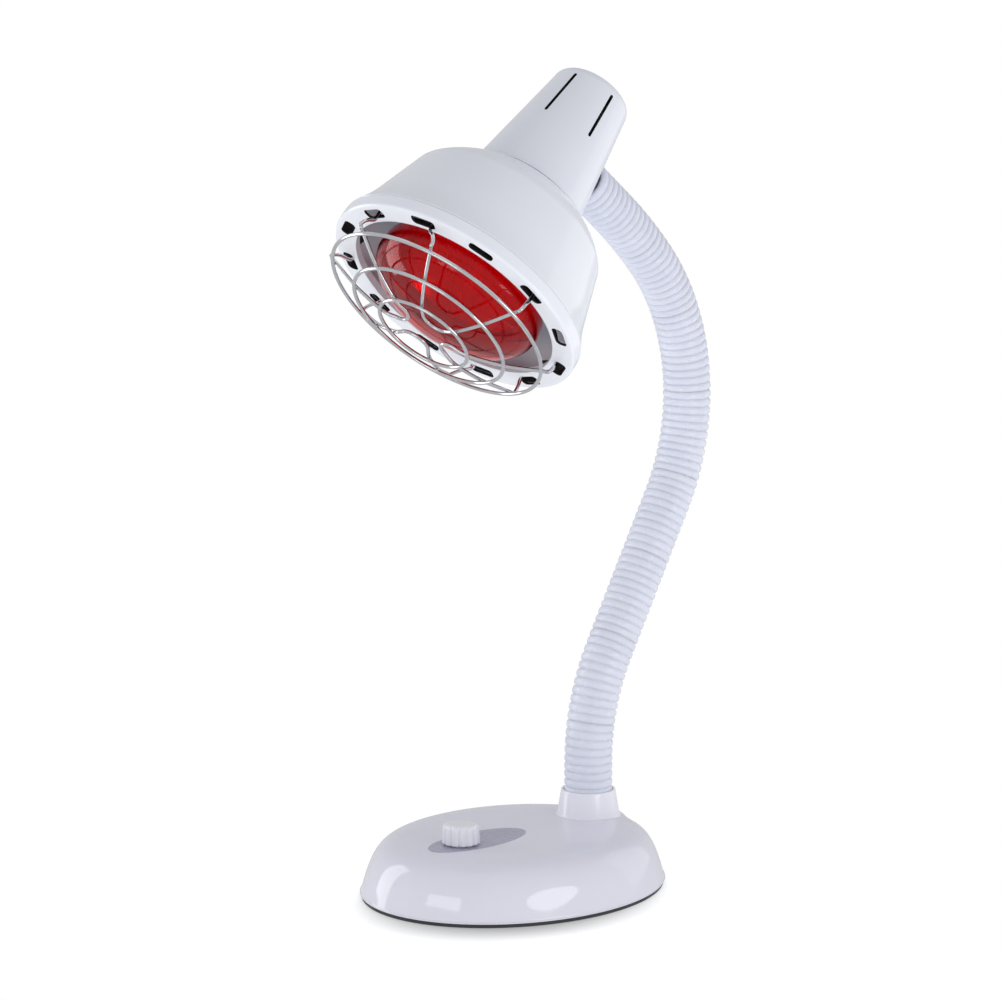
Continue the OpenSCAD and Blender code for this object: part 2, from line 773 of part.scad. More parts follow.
// One link of the arm: its rod is straight, and its ends lie along the hose at their joints
module arm_link(i) {
    low = i == 0 ? 0 : joint_s[i - 1];
    high = i == joints ? hose_l : joint_s[i];
    start = i == 0 ? [0, hose_y, hose_z - foot_socket] : hose_point(low + rod_in);
    finish = i == joints ? hose_point(hose_l) : hose_point(high - shoulder - rod_in_sleeve);
    cable_r = arm_bore_d / 2;
    color([0.58, 0.60, 0.64])
        difference() {
            union() {
                rod(start, finish, arm_d / 2);
                if (i > 0) on_hose(low) socket_end();
                if (i < joints) on_hose(high) ball_end();
            }
            rod(start, finish, cable_r, 1);
            if (i > 0) {
                translate(start) sphere(r = cable_r + pocket, $fn = fine);
                on_hose(low) sphere(r = ball_d / 2 + ball_play, $fn = fine);
                on_hose(low) cylinder(r = cable_r, h = rod_in, $fn = fine);
            }
            if (i < joints) {
                translate(finish) sphere(r = cable_r + pocket, $fn = fine);
                on_hose(high)
                    translate([0, 0, -shoulder - rod_in_sleeve])
                        cylinder(r = cable_r, h = shoulder + rod_in_sleeve + ball_d, $fn = fine);
            }
        }
}

module tip_ferrule() {
    color([0.22, 0.23, 0.26])
        on_hose(hose_l)
            difference() {
                union() {
                    translate([0, 0, -9]) cylinder(r = ferrule_d / 2, h = 9 + eps, $fn = fine);
                    cylinder(r = 10, h = tip_gap - 0.4, $fn = fine);
                    cylinder(r = tip_thread_d / 2, h = tip_gap + tip_boss_t + tip_nut_h + 0.6, $fn = fine);
                }
                translate([0, 0, -10]) cylinder(r = arm_d / 2 + 0.02, h = 10, $fn = fine);
                translate([0, 0, -10]) cylinder(r = arm_bore_d / 2 + 0.5, h = 40, $fn = fine);
            }
}

module tip_nut() {
    color(steel_colour)
        on_hose(hose_l) translate([0, 0, tip_gap + tip_boss_t]) hex_nut(15, tip_thread_d / 2 + 0.02, tip_nut_h);
}

// ---------- head parts ----------
// Soft shoulder between the shade's side and its flat top
function shoulder_arc(r, z, top_r, top_z) = [
    for (a = [0:15:90])
        [top_r + (r - top_r) * pow(cos(a), 1.6), z + (top_z - z) * pow(sin(a), 1.6)]];

module shade() {
    top_r = neck_foot_r - 1;
    sleeve_r = shade_rim_r - bezel_wall - 0.2;
    outer = concat(
        [[sleeve_r, 2], [sleeve_r, bezel_h], [shade_rim_r, bezel_h + 0.2], [shade_waist_r, shade_waist_z]],
        shoulder_arc(shoulder_r, shoulder_z, top_r, shade_h),
        [[flange_bore_r, shade_h]]);
    inner = concat(
        [[sleeve_r - shade_wall, 2], [sleeve_r - shade_wall, bezel_h + 1], [shade_waist_r - shade_wall, shade_waist_z]],
        shoulder_arc(shoulder_r - shade_wall, shoulder_z, top_r - shade_wall, shade_h - flange_t),
        [[flange_bore_r, shade_h - flange_t]]);
    color(body_colour)
        in_head()
            difference() {
                turned(outer, inner);
                head_screw_holes(1.3);
                bezel_nubs(1.5, 4);
            }
}

module head_screw_holes(r) {
    for (side = [-1, 1]) {
        translate([side * strap_foot_x, 0, shade_h - 10]) cylinder(r = r, h = 20, $fn = fine);
        translate([0, side * neck_screw_y, shade_h - 10]) cylinder(r = r, h = 20, $fn = fine);
    }
}

// Round nubs inside the bezel, which snap into holes in the shade
module bezel_nubs(r, l) {
    for (i = [0:3])
        rotate([0, 0, slot_turn + 15 + 90 * i])
            translate([shade_rim_r + 0.1 - bezel_wall + 0.2 - l, 0, 4.8]) rotate([0, 90, 0])
                cylinder(r = r, h = l, $fn = fine);
}

module bezel() {
    r = shade_rim_r + 0.1;
    lip = opening_r;
    color(body_colour)
        in_head() {
            difference() {
                turned(
                    concat([[lip, 0], [r - 3.2, 0]],
                        [for (a = [-75:15:0]) [r - 3.2 + 3.2 * cos(a), 3.2 + 3.2 * sin(a)]],
                        [[r, bezel_h]]),
                    [[lip, 4], [lip + bezel_wall, 4], [lip + bezel_wall, bezel_wall],
                        [r - bezel_wall - 0.4, bezel_wall], [r - bezel_wall, bezel_wall + 0.4],
                        [r - bezel_wall, bezel_h]]);
                for (i = [0:slot_count - 1])
                    rotate([0, 0, slot_turn + 360 * i / slot_count])
                        translate([slot_ring_r, 0, -1]) slot_shape();
            }
            bezel_nubs(1.4, 1.6);
        }
}

module slot_shape() {
    r = 2.2;
    translate([-slot_w / 2, -slot_l / 2 + r, 0]) cube([slot_w, slot_l - 2 * r, 3]);
    translate([-slot_w / 2 + r, -slot_l / 2, 0]) cube([slot_w - 2 * r, slot_l, 3]);
    for (x = [-1, 1])
        for (y = [-1, 1])
            translate([x * (slot_w / 2 - r), y * (slot_l / 2 - r), 0]) cylinder(r = r, h = 3, $fn = 24);
}

module neck_housing() {
    inner_foot = neck_foot_r - neck_wall;
    inner_top = neck_top_r - neck_wall;
    top_z = neck_z + neck_l;
    color(body_colour)
        difference() {
            union() {
                in_head() turned(
                    concat([[neck_foot_r + 0.6, neck_z], [neck_foot_r + 0.6, neck_z + 1.4],
                        [neck_foot_r - 0.2, neck_z + 1.6]],
                        [for (a = [0:15:90])
                            [neck_top_r - neck_round + neck_round * cos(a), top_z - neck_round + neck_round * sin(a)]],
                        [[0, top_z + 0.6]]),
                    concat([[inner_foot, neck_z]],
                        [for (a = [0:15:90])
                            [inner_top - neck_round + neck_round * cos(a),
                                top_z - neck_wall - neck_round + neck_round * sin(a)]],
                        [[0, top_z - neck_wall + 0.6]]));
                on_hose(hose_l) translate([0, 0, tip_gap - 0.4]) cylinder(r = 10, h = tip_boss_t + 0.4, $fn = fine);
                in_head()
                    for (side = [-1, 1])
                        translate([0, side * neck_screw_y, neck_z]) cylinder(r = 3, h = 12, $fn = fine);
            }
            on_hose(hose_l) cylinder(r = tip_thread_d / 2 + gap, h = 30, $fn = fine);
            in_head() {
                for (i = vent_places)
                    rotate([0, 0, vent_turn + 60 * i])
                        translate([inner_top - 6, 0, top_z - vent_l - vent_drop + vent_w / 2]) vent_shape(20);
                for (side = [-1, 1])
                    translate([0, side * neck_screw_y, neck_z - 1]) cylinder(r = 1.3, h = 10, $fn = fine);
            }
        }
}

module vent_shape(depth) {
    translate([0, -vent_w / 2, 0]) cube([depth, vent_w, vent_l - vent_w]);
    for (z = [0, vent_l - vent_w])
        translate([0, 0, z]) rotate([0, 90, 0]) cylinder(r = vent_w / 2, h = depth, $fn = 24);
}

module neck_screws() {
    color(steel_colour)
        in_head()
            for (side = [-1, 1])
                translate([0, side * neck_screw_y, shade_h - flange_t]) screw(1.28, 8, 2.6, 1.4);
}

module holder_strap() {
    color(steel_colour)
        in_head()
            difference() {
                union() {
                    for (side = [-1, 1]) {
                        translate([side * (strap_x + strap_t / 2) - strap_t / 2, -strap_w / 2, shade_h])
                            cube([strap_t, strap_w, strap_top + strap_t - shade_h]);
                        translate([side * (strap_x + 4.5) - 4.5, -strap_w / 2, shade_h])
                            cube([9, strap_w, strap_t]);
                    }
                    translate([-strap_x - strap_t, -strap_w / 2, strap_top])
                        cube([2 * (strap_x + strap_t), strap_w, strap_t]);
                }
                for (side = [-1, 1])
                    translate([side * strap_foot_x, 0, shade_h - 1]) cylinder(r = 1.4, h = 5, $fn = fine);
                translate([0, 0, strap_top - 1]) cylinder(r = 2.1, h = 5, $fn = fine);
            }
}

module holder_screws() {
    color(steel_colour)
        in_head() {
            for (side = [-1, 1])
                translate([side * strap_foot_x, 0, shade_h - flange_t]) {
                    screw(1.28, 6, 2.4, 1.4);
                    translate([0, 0, flange_t + strap_t]) ring(2.4, 1.3, 2);
                }
            translate([0, 0, strap_top + strap_t]) mirror([0, 0, 1]) screw(2, 7, 3.4, 2);
        }
}

module lampholder() {
    bore_r = cap_d / 2 + 1.2;
    color([0.94, 0.93, 0.90])
        in_head()
            difference() {
                rotate_extrude($fn = fine)
                    polygon([[0, holder_z], [holder_r - 0.6, holder_z], [holder_r, holder_z + 0.6],
                        [holder_r, holder_z + holder_l - 6], [holder_r - 3, holder_z + holder_l], [0, holder_z + holder_l]]);
                translate([0, 0, holder_z - 1]) cylinder(r = bore_r, h = cap_l + 1.6, $fn = fine);
                translate([0, 0, holder_z]) cylinder(r = 2.02, h = holder_l + 1, $fn = fine);
            }
}

module holder_shell() {
    color(brass_colour)
        in_head() translate([0, 0, holder_z + 1]) ring(cap_d / 2 + 1.1, cap_d / 2 + 0.3, cap_l - 3);
}

module holder_contact() {
    color(brass_colour)
        in_head()
            translate([0, 0, cap_z + cap_l + 0.9]) {
                translate([-6, -2.5, 0]) cube([12, 5, 0.6]);
            }
}

// ---------- bulb ----------
// Outline of the bulb's glass from its face to its cap, drawn in by an inset
function bulb_side(inset) =
    let (wide = bulb_face_h - bulb_out)
        concat(
            [for (a = [0:10:90])
                [(bulb_r - inset) * sin(a), wide - (bulb_face_h - inset) * cos(a)]],
            [[bulb_r - 1.2 - inset, wide + 7], [bulb_r - 3.6 - inset, wide + 13],
                [bulb_r - 7.5 - inset, wide + 20], [stem_r + 7 - inset, wide + 43],
                [stem_r + 1 - inset, wide + 57], [stem_r - 0.5 - inset, wide + 67],
                [stem_r - 1.5 - inset, cap_z - 7], [cap_d / 2 + 0.9 - inset, cap_z]]);

module bulb_glass() {
    color([0.62, 0.03, 0.05])
        in_head() turned(bulb_side(0), bulb_side(glass_t));
}

module bulb_cap() {
    threads = 6;
    r = cap_d / 2;
    color(brass_colour)
        in_head()
            rotate_extrude($fn = fine)
                polygon(concat(
                    [[0, cap_z], [r, cap_z], [r, cap_z + 3]],
                    [for (i = [0:threads - 1])
                        each [[r - 1, cap_z + 4.2 + i * 2.8], [r, cap_z + 5.6 + i * 2.8]]],
                    [[r - 1.4, cap_z + cap_l - 3], [5.5, cap_z + cap_l - 0.6],
                        [4, cap_z + cap_l + 0.8], [0, cap_z + cap_l + 0.8]]));
}

module bulb_mount() {
    color([0.80, 0.84, 0.84])
        in_head() {
            translate([0, 0, cap_z - 34]) cylinder(r1 = 3.5, r2 = 9, h = 34, $fn = fine);
            for (side = [-1, 1])
                translate([side * 2.4, 0, cap_z - 52]) cylinder(r = 0.5, h = 19, $fn = 24);
        }
}

module bulb_filament() {
    color([0.85, 0.75, 0.60])
        in_head()
            translate([0, 0, cap_z - 52.7])
                rotate_extrude($fn = fine) translate([2.4, 0]) circle(r = 0.7, $fn = 24);
}

// ---------- guard ----------
module guard_ring(radius, ahead) {
    color(steel_colour)
        in_head()
            translate([guard_x, guard_y, -ahead])
                rotate_extrude($fn = fine) translate([radius, 0]) circle(r = wire_d / 2, $fn = 16);
}

// One leg of a wire, from its foot behind the bezel up and inwards under the rings: each point is
// a radius, a distance ahead of the opening and a share of the way from the foot to the leg
function leg(foot_turn, leg_turn) =
    let (foot_r = slot_ring_r - slot_w / 2 + wire_d / 2 - 0.1, under = wire_d * 0.9)
        [for (p = [[foot_r, -3.5, 0], [foot_r, 1.5, 0], [guard_r1 + 2.3, 5, 0.6],
                [guard_r1 + 3.3, guard_h1 - 4, 1], [guard_r1 + 2, guard_h1 - 2.3, 1],
                [guard_r1, guard_h1 - under, 1], [guard_r2, guard_h2 - under, 1],
                [guard_r3, guard_h3 - under, 1]])
            let (t = foot_turn + (leg_turn - foot_turn) * p[2])
                [p[0] * cos(t) + guard_x * p[2], p[0] * sin(t) + guard_y * p[2], -p[1]]];

// Points of the round bend that joins the two legs of a wire
function inner_bend(middle, half) =
    let (r = guard_bend_r * sin(half) / (1 - sin(half)), z = -guard_h3 + wire_d * 0.9)
        [for (i = [0:bend_steps])
            let (a = -90 - half - (180 - 2 * half) * i / bend_steps,
                p = turn([guard_bend_r + r + r * cos(a), r * sin(a), z], middle))
                p + [guard_x, guard_y, 0]];

module guard_wires() {
    color(steel_colour)
        in_head()
            for (g = guard_at)
                let (last = leg(g[3], g[0] + g[1]))
                    wire(concat(leg(g[2], g[0] - g[1]), inner_bend(g[0], g[1]),
                        [for (k = [len(last) - 1:-1:0]) last[k]]), wire_d / 2, 8);
}

base_pad();
base_plate();
ballast();
base_shell();
case_screws();
badge_plate();
control_housing();
control_nut();
circuit_board();
choke();
capacitor();
heat_sink();
terminal_block();
inlet_bush();
arm_bracket();
bracket_screws();
collar();
foot_ferrule();
foot_nut();
control_shaft();
knob();
arm_link(0);  // arm_link_0
arm_link(1);  // arm_link_1
arm_link(2);  // arm_link_2
arm_link(3);  // arm_link_3
arm_link(4);  // arm_link_4
arm_link(5);  // arm_link_5
arm_link(6);  // arm_link_6
arm_link(7);  // arm_link_7
arm_link(8);  // arm_link_8
hose(0);  // hose_0
hose(1);  // hose_1
hose(2);  // hose_2
hose(3);  // hose_3
hose(4);  // hose_4
hose(5);  // hose_5
hose(6);  // hose_6
hose(7);  // hose_7
hose(8);  // hose_8
tip_ferrule();
tip_nut();
neck_housing();
neck_screws();
shade();
bezel();
guard_ring(guard_r1, guard_h1);  // guard_ring_outer
guard_ring(guard_r2, guard_h2);  // guard_ring_middle
guard_ring(guard_r3, guard_h3);  // guard_ring_inner
guard_wires();
lampholder();
holder_shell();
holder_contact();
holder_strap();
holder_screws();
bulb_cap();
bulb_glass();
bulb_mount();
bulb_filament();
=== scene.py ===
"""Looks of a table infrared heat lamp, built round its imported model.

Lengths are in millimetres, as in the part's source. add_mesh() turns them into metres. Only the studio's
lamps, floor and camera distance are in metres.
"""
import json
import math

import bpy
from mathutils import Matrix, Vector

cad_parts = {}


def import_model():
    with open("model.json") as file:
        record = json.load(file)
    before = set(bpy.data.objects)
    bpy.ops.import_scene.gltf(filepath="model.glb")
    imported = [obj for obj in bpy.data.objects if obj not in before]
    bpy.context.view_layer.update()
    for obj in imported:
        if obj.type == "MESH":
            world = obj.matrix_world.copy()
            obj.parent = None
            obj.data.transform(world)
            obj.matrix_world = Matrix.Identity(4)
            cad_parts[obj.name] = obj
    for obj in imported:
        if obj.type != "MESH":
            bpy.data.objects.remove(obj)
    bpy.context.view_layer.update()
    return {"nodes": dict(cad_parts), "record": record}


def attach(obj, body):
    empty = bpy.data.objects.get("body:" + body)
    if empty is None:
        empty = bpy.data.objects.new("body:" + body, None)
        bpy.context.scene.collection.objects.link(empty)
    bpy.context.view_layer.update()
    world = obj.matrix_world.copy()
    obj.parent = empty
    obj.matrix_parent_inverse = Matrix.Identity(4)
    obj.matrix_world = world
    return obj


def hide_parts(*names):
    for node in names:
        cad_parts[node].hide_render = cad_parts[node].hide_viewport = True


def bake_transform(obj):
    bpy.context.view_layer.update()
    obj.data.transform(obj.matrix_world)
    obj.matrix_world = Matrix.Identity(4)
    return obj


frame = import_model()

MM = 0.001

# ---------- sizes, as in the part's source ----------
PAD_T = 1.2
PAD_INSET = 0.9
INLET_Y = 79.69
INLET_Z = 13
INLET_BOSS_R = 8.2
INLET_BOSS_BORE = 4.85
INLET_BOSS_L = 4.4
INLET_POCKET_R = 6.85
LIP_Z = 2.0
BASE_RX = 73.3
BASE_RY = 88.6
DOME_RISE = 29.3
DOME_SQUARE = 14
DOME_EDGE = 1.2
SHELL_WALL = 2.4
BADGE_Y = 27
BADGE_L = 66
BADGE_W = 29.5
KNOB_Y = 39
KNOB_Z = 31.4
FLUTES = 14
HOSE_Y = 57
SEAT_Z = 29.8269
SEAT_R = 18
SEAT_FILLET = 3.5
COLLAR_H = 14.3
COLLAR_TOP_D = 29.2
COLLAR_FOOT_D = 33.6
COLLAR_LIP_D = 37.4
COLLAR_LIP_H = 1.3
COLLAR_WALL = 1.3
HOSE_Z = SEAT_Z + 3
HOSE_R = 13
RIB_DEPTH = 0.9
HOSE_BORE_R = 10.1
LINK_RIBS = 11
STUB_RIBS = 6
JOINTS = 8
HEAD_TILT = 44.3
HEAD_Y = -43.7441
HEAD_Z = 318.626
NECK_FOOT_R = 32
NECK_TOP_R = 22
NECK_L = 73
NECK_WALL = 2.2
NECK_ROUND = 6
VENT_PLACES = (0, 1, 3, 4, 5)
VENT_STEP = 60
VENT_TURN = -15
VENT_W = 1.8
VENT_L = 29.6
VENT_TOP = 6.6
SHADE_H = 71.5
SHADE_RIM_R = 71
SHADE_WALL = 1.4
WAIST_R = 63.1
WAIST_Z = 26.8
SHOULDER_R = 55.5
SHOULDER_Z = 52
SHOULDER_POWER = 1.6
OPENING_R = 58.5
OPENING_LIP_H = 4
BEZEL_H = 7
BEZEL_WALL = 1.4
SLOTS = 12
SLOT_RING_R = 64.5
SLOT_L = 14
SLOT_W = 6.4
SLOT_CORNER_R = 2.4
SLOT_TURN = 20.2
WIRE_D = 2
GUARD_RINGS = ((62, 13.1), (44.4, 20.7), (26, 25.8))
GUARD_SHIFT = (-1.5, -2)
GUARD_BEND_R = 11
# each wire: its middle, half the angle between its legs, and its two feet, in degrees
GUARD_WIRES = (
    (61, 21.5, 45.8, 84.4),
    (146.5, 26, 114.4, 172),
    (237, 24, 204.4, 259.5),
    (327.5, 25, 294.4, 352.5),
)
BULB_R = 47.5
BULB_OUT = 18
BULB_FACE_H = 23
BULB_STEM_R = 18
GLASS_T = 1.2
CAP_D = 26.2
CAP_Z = 92

# the arm's centre line: straight runs, the radii of its bends, and its lean after the first two bends
FOOT_RUN = 27.6
BACK_RUN = 90
END_RUN = 26
LOWER_BEND_R = 114
UPPER_BEND_R = 112
EASE_BEND_R = 257
BACK_LEAN = 30.3
EASE_LEAN = 43
NECK_TAPER = math.degrees(math.atan((NECK_FOOT_R - NECK_TOP_R) / NECK_L))
END_LEAN = -(HEAD_TILT + NECK_TAPER)

# ---------- finer shapes, which only the scene has ----------
SIDES_SMALL = 64
SIDES_PLAIN = 128
SIDES_MORE = 160
SIDES_FINE = 192
DOME_STEPS = 44
DOME_SPACING = 0.62
# the cover's lip, from its outside to its underside: how far in, and how far over LIP_Z
LIP_PROFILE = ((0.0, 0.5), (0.1, 0.22), (0.35, 0.05), (0.8, 0.0))
LIP_START = 0.6
INLET_EDGE = 0.4
INLET_CUT = (-6, 16)
PAD_EDGE = 0.2
PAD_HIDDEN = 0.3
# the badge, from under the cover to its flat top: how far in, and how far over the dome
BADGE_PROFILE = ((0.0, -1.0), (0.0, 0.02), (0.12, 0.1), (0.3, 0.12), (0.9, 0.12))
# the knob, from its foot to its top: radius, height, and the share of the flutes' depth
KNOB_PROFILE = (
    (9.6, 0.0, 1.0), (10.0, 0.25, 1.0), (10.0, 1.0, 1.0), (9.85, 4.0, 1.0), (9.7, 7.0, 1.0),
    (9.58, 8.2, 0.9), (9.35, 9.2, 0.62), (8.9, 9.95, 0.35), (8.2, 10.4, 0.12), (7.3, 10.58, 0.0),
    (6.0, 10.6, 0.0), (3.0, 10.6, 0.0),
)
FLUTE_SIDES = 16
FLUTE_DEPTH = 0.75
FLUTE_RIDGE = 0.45
COLLAR_SUNK = 2
COLLAR_ROUND_STEPS = 6
HOSE_SIDES = 80
RIB_MARKS = (0.0, 0.06, 0.12, 0.19, 0.26, 0.34, 0.5, 0.66, 0.74, 0.81, 0.88, 0.94)
RIB_FLANK = 0.34
RIB_CROWN = 0.15
RIBS_BELOW_JOINT = 6
RIBS_ABOVE_JOINT = 5
BLEND_RIBS = 4.6
RIM_EDGE = 0.25
RIM_STEP = 0.7
SIDE_STEPS = 8
SIDE_HOLLOW = 0.1
SHOULDER_STEPS = 24
SLEEVE_START = 2
SLEEVE_GAP = 0.2
# inside the shade the painted shade reaches this height, and between two angles only the bezel's height
PAINTED_SHADE_TO = 15
LIT_FROM = 82
LIT_TO = 197
BEZEL_LAP = 0.1
BEZEL_FACE_EDGE = 3.4
BEZEL_ROUND = 3.2
BEZEL_ROUND_STEPS = 8
OPENING_EDGE = 0.9
CHANNEL_FILLET = 0.4
CHANNEL_MARGIN = 0.9
SLOT_STEPS = 6
SLOT_CUT = (-2, 2.6)
# the neck's foot on the shade, from its outside in: how far out, and how high
NECK_FLANGE = ((0.6, 0), (0.6, 1.1), (0.3, 1.4), (-0.2, 1.6))
NECK_CROWN = 0.6
NECK_STEPS = 12
VENT_STEPS = 8
VENT_CUT = (0, 20)
VENT_CUT_START = 6
RING_SIDES = 16
WIRE_SIDES = 14
WIRE_STEPS = 5
WIRE_UNDER = WIRE_D * 0.9
BEND_STEPS = 10
FACE_STEPS = 30
BACK_STEPS = 6
SEAM_STEPS = 6

# ---------- studio ----------
AMBIENT_COLOUR = (0.97, 0.98, 1.0, 1)
AMBIENT_LOW = 0.72
AMBIENT_HIGH = 0.53
IN_GLOSS = 0.6
WHITE = (1, 1, 1, 1)
# the painted shadow on the floor: its darkest share under the base's edge, and the shift of its middle
CONTACT_SHADE = 0.45
CONTACT_SHIFT = (-0.22, 0.22, 0)
# how far out the floor's shade eases off and its own white begins, where 1 is the base's edge
SHADE_EASES = (0.66, 1.12)
WHITE_EASES = (0.97, 1.24)
FLOOR_GLOW = 0.40
FLOOR_BOUNCE = 0.98
FLOOR_HALF = 6.0
PANEL_AIM_Z = 0.15
# each light: name, azimuth, height, distance, width, height of its face, brightness and shape
PANELS = (
    ("left_tall", -62, 0.25, 0.58, 0.22, 0.45, 2.25, "RECTANGLE"),
    ("front_small", 9, 0.19, 0.52, 0.28, 0.08, 2.6, "RECTANGLE"),
    ("right_oval", 91, 0.20, 0.60, 0.39, 0.16, 2.6, "ELLIPSE"),
    ("rear_tall", 165, 0.27, 0.60, 0.40, 0.50, 0.45, "RECTANGLE"),
    ("top_soft", 20, 1.5, 0.5, 1.2, 1.2, 0.15, "RECTANGLE"),
)
CAMERA_AZIMUTH = 45.34
CAMERA_ELEVATION = 9.58
CAMERA_TARGET = (-7.31, -2.59, 208.18)
CAMERA_DISTANCE = 2.0
CAMERA_LENS = 137.02
CAMERA_SENSOR = 36
CAMERA_CLIP = 50


def arc_length(radius, angle):
    """Length of an arc of a radius and an angle in degrees."""
    return radius * math.radians(angle)


# each run of the hose: its length, and the lean at its end
HOSE_RUNS = (
    (FOOT_RUN, 0),
    (arc_length(LOWER_BEND_R, BACK_LEAN), BACK_LEAN),
    (BACK_RUN, BACK_LEAN),
    (arc_length(UPPER_BEND_R, BACK_LEAN + EASE_LEAN), -EASE_LEAN),
    (arc_length(EASE_BEND_R, -END_LEAN - EASE_LEAN), END_LEAN),
    (END_RUN, END_LEAN),
)
HOSE_L = sum(length for length, lean in HOSE_RUNS)
RIB_PITCH = HOSE_L / (2 * STUB_RIBS + (JOINTS - 1) * LINK_RIBS)

# the head's own frame has its origin in the middle of the bezel's face, and Z towards the neck
TILT = math.radians(HEAD_TILT)
HEAD = Matrix((
    (1, 0, 0, 0),
    (0, math.sin(TILT), math.cos(TILT), HEAD_Y),
    (0, -math.cos(TILT), math.sin(TILT), HEAD_Z),
    (0, 0, 0, 1),
))
# the inlet's own frame has Z out of the base's rear
INLET = Matrix.Translation((0, INLET_Y, INLET_Z)) @ Matrix.Rotation(math.radians(-90), 4, "X")
# stands a flat outline up along Z, with its depth along X
STANDING = Matrix(((0, 0, 1, 0), (1, 0, 0, 0), (0, 1, 0, 0), (0, 0, 0, 1)))


# ---------- mesh helpers ----------
def into_scene(obj):
    """Puts an object in the scene."""
    bpy.context.scene.collection.objects.link(obj)
    return obj


def add_mesh(name, verts, faces, slot, body=None, nodes=(), sharp=32, place=None, inside=None):
    """A piece from points in millimetres. It takes its slot's material and may stand for CAD nodes.
    inside tells from a face's points, before they are placed, whether the face takes the painted shade."""
    mesh = bpy.data.meshes.new(name)
    dark = [inside([verts[v] for v in face]) for face in faces] if inside else None
    if place is not None:
        verts = [place @ Vector(v) for v in verts]
    mesh.from_pydata([Vector(v) * MM for v in verts], [], faces)
    mesh.validate()
    mesh.update()
    obj = into_scene(bpy.data.objects.new(name, mesh))
    mesh.shade_smooth()
    mesh.set_sharp_from_angle(angle=math.radians(sharp))
    mesh.materials.append(LOOKS[slot])
    if dark:
        mesh.materials.append(LOOKS["painted_shade_inside"])
        for polygon, is_dark in zip(mesh.polygons, dark):
            polygon.material_index = int(is_dark)
    if body:
        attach(obj, body)
    if nodes:
        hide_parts(*nodes)
    return obj


def oval(rx, ry, sides):
    """Points of an ellipse round the origin."""
    points = []
    for i in range(sides):
        angle = 2 * math.pi * i / sides
        points.append((rx * math.cos(angle), ry * math.sin(angle)))
    return points


def skin(rings, sides, closed):
    """Faces between rings of points; closed also joins the last ring to the first."""
    faces = []
    for i in range(rings if closed else rings - 1):
        low, high = i * sides, (i + 1) % rings * sides
        for j in range(sides):
            k = (j + 1) % sides
            faces.append((low + j, low + k, high + k, high + j))
    return faces


def capped(rings, sides):
    """Faces of a tube with a flat end at its first and last ring."""
    last = (rings - 1) * sides
    ends = [tuple(range(sides - 1, -1, -1)), tuple(range(last, last + sides))]
    return skin(rings, sides, False) + ends


def pointed(rings, sides):
    """Faces of a tube whose first and last rings each close on a point. The two come after the rings."""
    faces = skin(rings, sides, False)
    first, last = rings * sides, rings * sides + 1
    end = (rings - 1) * sides
    for j in range(sides):
        k = (j + 1) % sides
        faces.append((first, k, j))
        faces.append((last, end + j, end + k))
    return faces


def turned(outline, sides):
    """Points and faces of an outline of (radius, height) turned about Z. An outline that starts and
    ends on the axis gives a solid, and any other is closed on itself and gives a ring."""
    solid = outline[0][0] < 1e-6 and outline[-1][0] < 1e-6
    middle = outline[1:-1] if solid else outline
    verts = []
    for radius, height in middle:
        verts += [(x, y, height) for x, y in oval(radius, radius, sides)]
    if not solid:
        return verts, skin(len(middle), sides, True)
    verts += [(0, 0, outline[0][1]), (0, 0, outline[-1][1])]
    return verts, pointed(len(middle), sides)


def rounded(corners, steps):
    """An outline from corners of (x, y, radius), rounded by that radius, or kept where it is 0."""
    points = []
    count = len(corners)
    for i, (x, y, radius) in enumerate(corners):
        if radius <= 0:
            points.append((x, y))
            continue
        here = Vector((x, y))
        back = Vector(corners[i - 1][:2]) - here
        on = Vector(corners[(i + 1) % count][:2]) - here
        half = back.angle(on) / 2
        reach = min(radius / math.tan(half), back.length * 0.49, on.length * 0.49)
        start = here + back.normalized() * reach
        end = here + on.normalized() * reach
        for k in range(steps + 1):
            t = k / steps
            p = start * (1 - t) ** 2 + here * 2 * t * (1 - t) + end * t * t
            points.append((p.x, p.y))
    return points


def smooth_path(points, steps):
    """A smooth path through points, with some steps between each two."""
    path = []
    for i in range(len(points) - 1):
        p0 = Vector(points[max(i - 1, 0)])
        p1 = Vector(points[i])
        p2 = Vector(points[i + 1])
        p3 = Vector(points[min(i + 2, len(points) - 1)])
        for k in range(steps):
            t = k / steps
            path.append(0.5 * (2 * p1 + (p2 - p0) * t + (2 * p0 - 5 * p1 + 4 * p2 - p3) * t ** 2
                               + (3 * p1 - p0 - 3 * p2 + p3) * t ** 3))
    path.append(Vector(points[-1]))
    return path


def wire_rings(path, radius):
    """The rings of a wire along a path, with domed ends: middle, direction, side direction, radius."""
    tangents = []
    for i in range(len(path)):
        tangents.append((path[min(i + 1, len(path) - 1)] - path[max(i - 1, 0)]).normalized())
    across = tangents[0].orthogonal().normalized()
    rings = []
    for i, point in enumerate(path):
        across = (across - across.dot(tangents[i]) * tangents[i]).normalized()
        rings.append((point, tangents[i], across, radius))
    dome = []
    for angle in (20, 50, 80):
        a = math.radians(angle)
        dome.append((radius * math.cos(a), radius * math.sin(a)))
    point, tangent, across, radius = rings[0]
    start = [(point - tangent * out, tangent, across, r) for r, out in reversed(dome)]
    point, tangent, across, radius = rings[-1]
    end = [(point + tangent * out, tangent, across, r) for r, out in dome]
    return start + rings + end


def swept(path, radius, sides):
    """Points and faces of a round wire along a path."""
    rings = wire_rings(path, radius)
    verts = []
    for point, tangent, across, r in rings:
        over = tangent.cross(across)
        for x, y in oval(1, 1, sides):
            verts.append(point + r * (x * across + y * over))
    return verts, capped(len(rings), sides)


def prism(outline, low, high, place):
    """A straight solid over a flat outline, for cutting."""
    verts = [place @ Vector((x, y, low)) for x, y in outline]
    verts += [place @ Vector((x, y, high)) for x, y in outline]
    return verts, capped(2, len(outline))


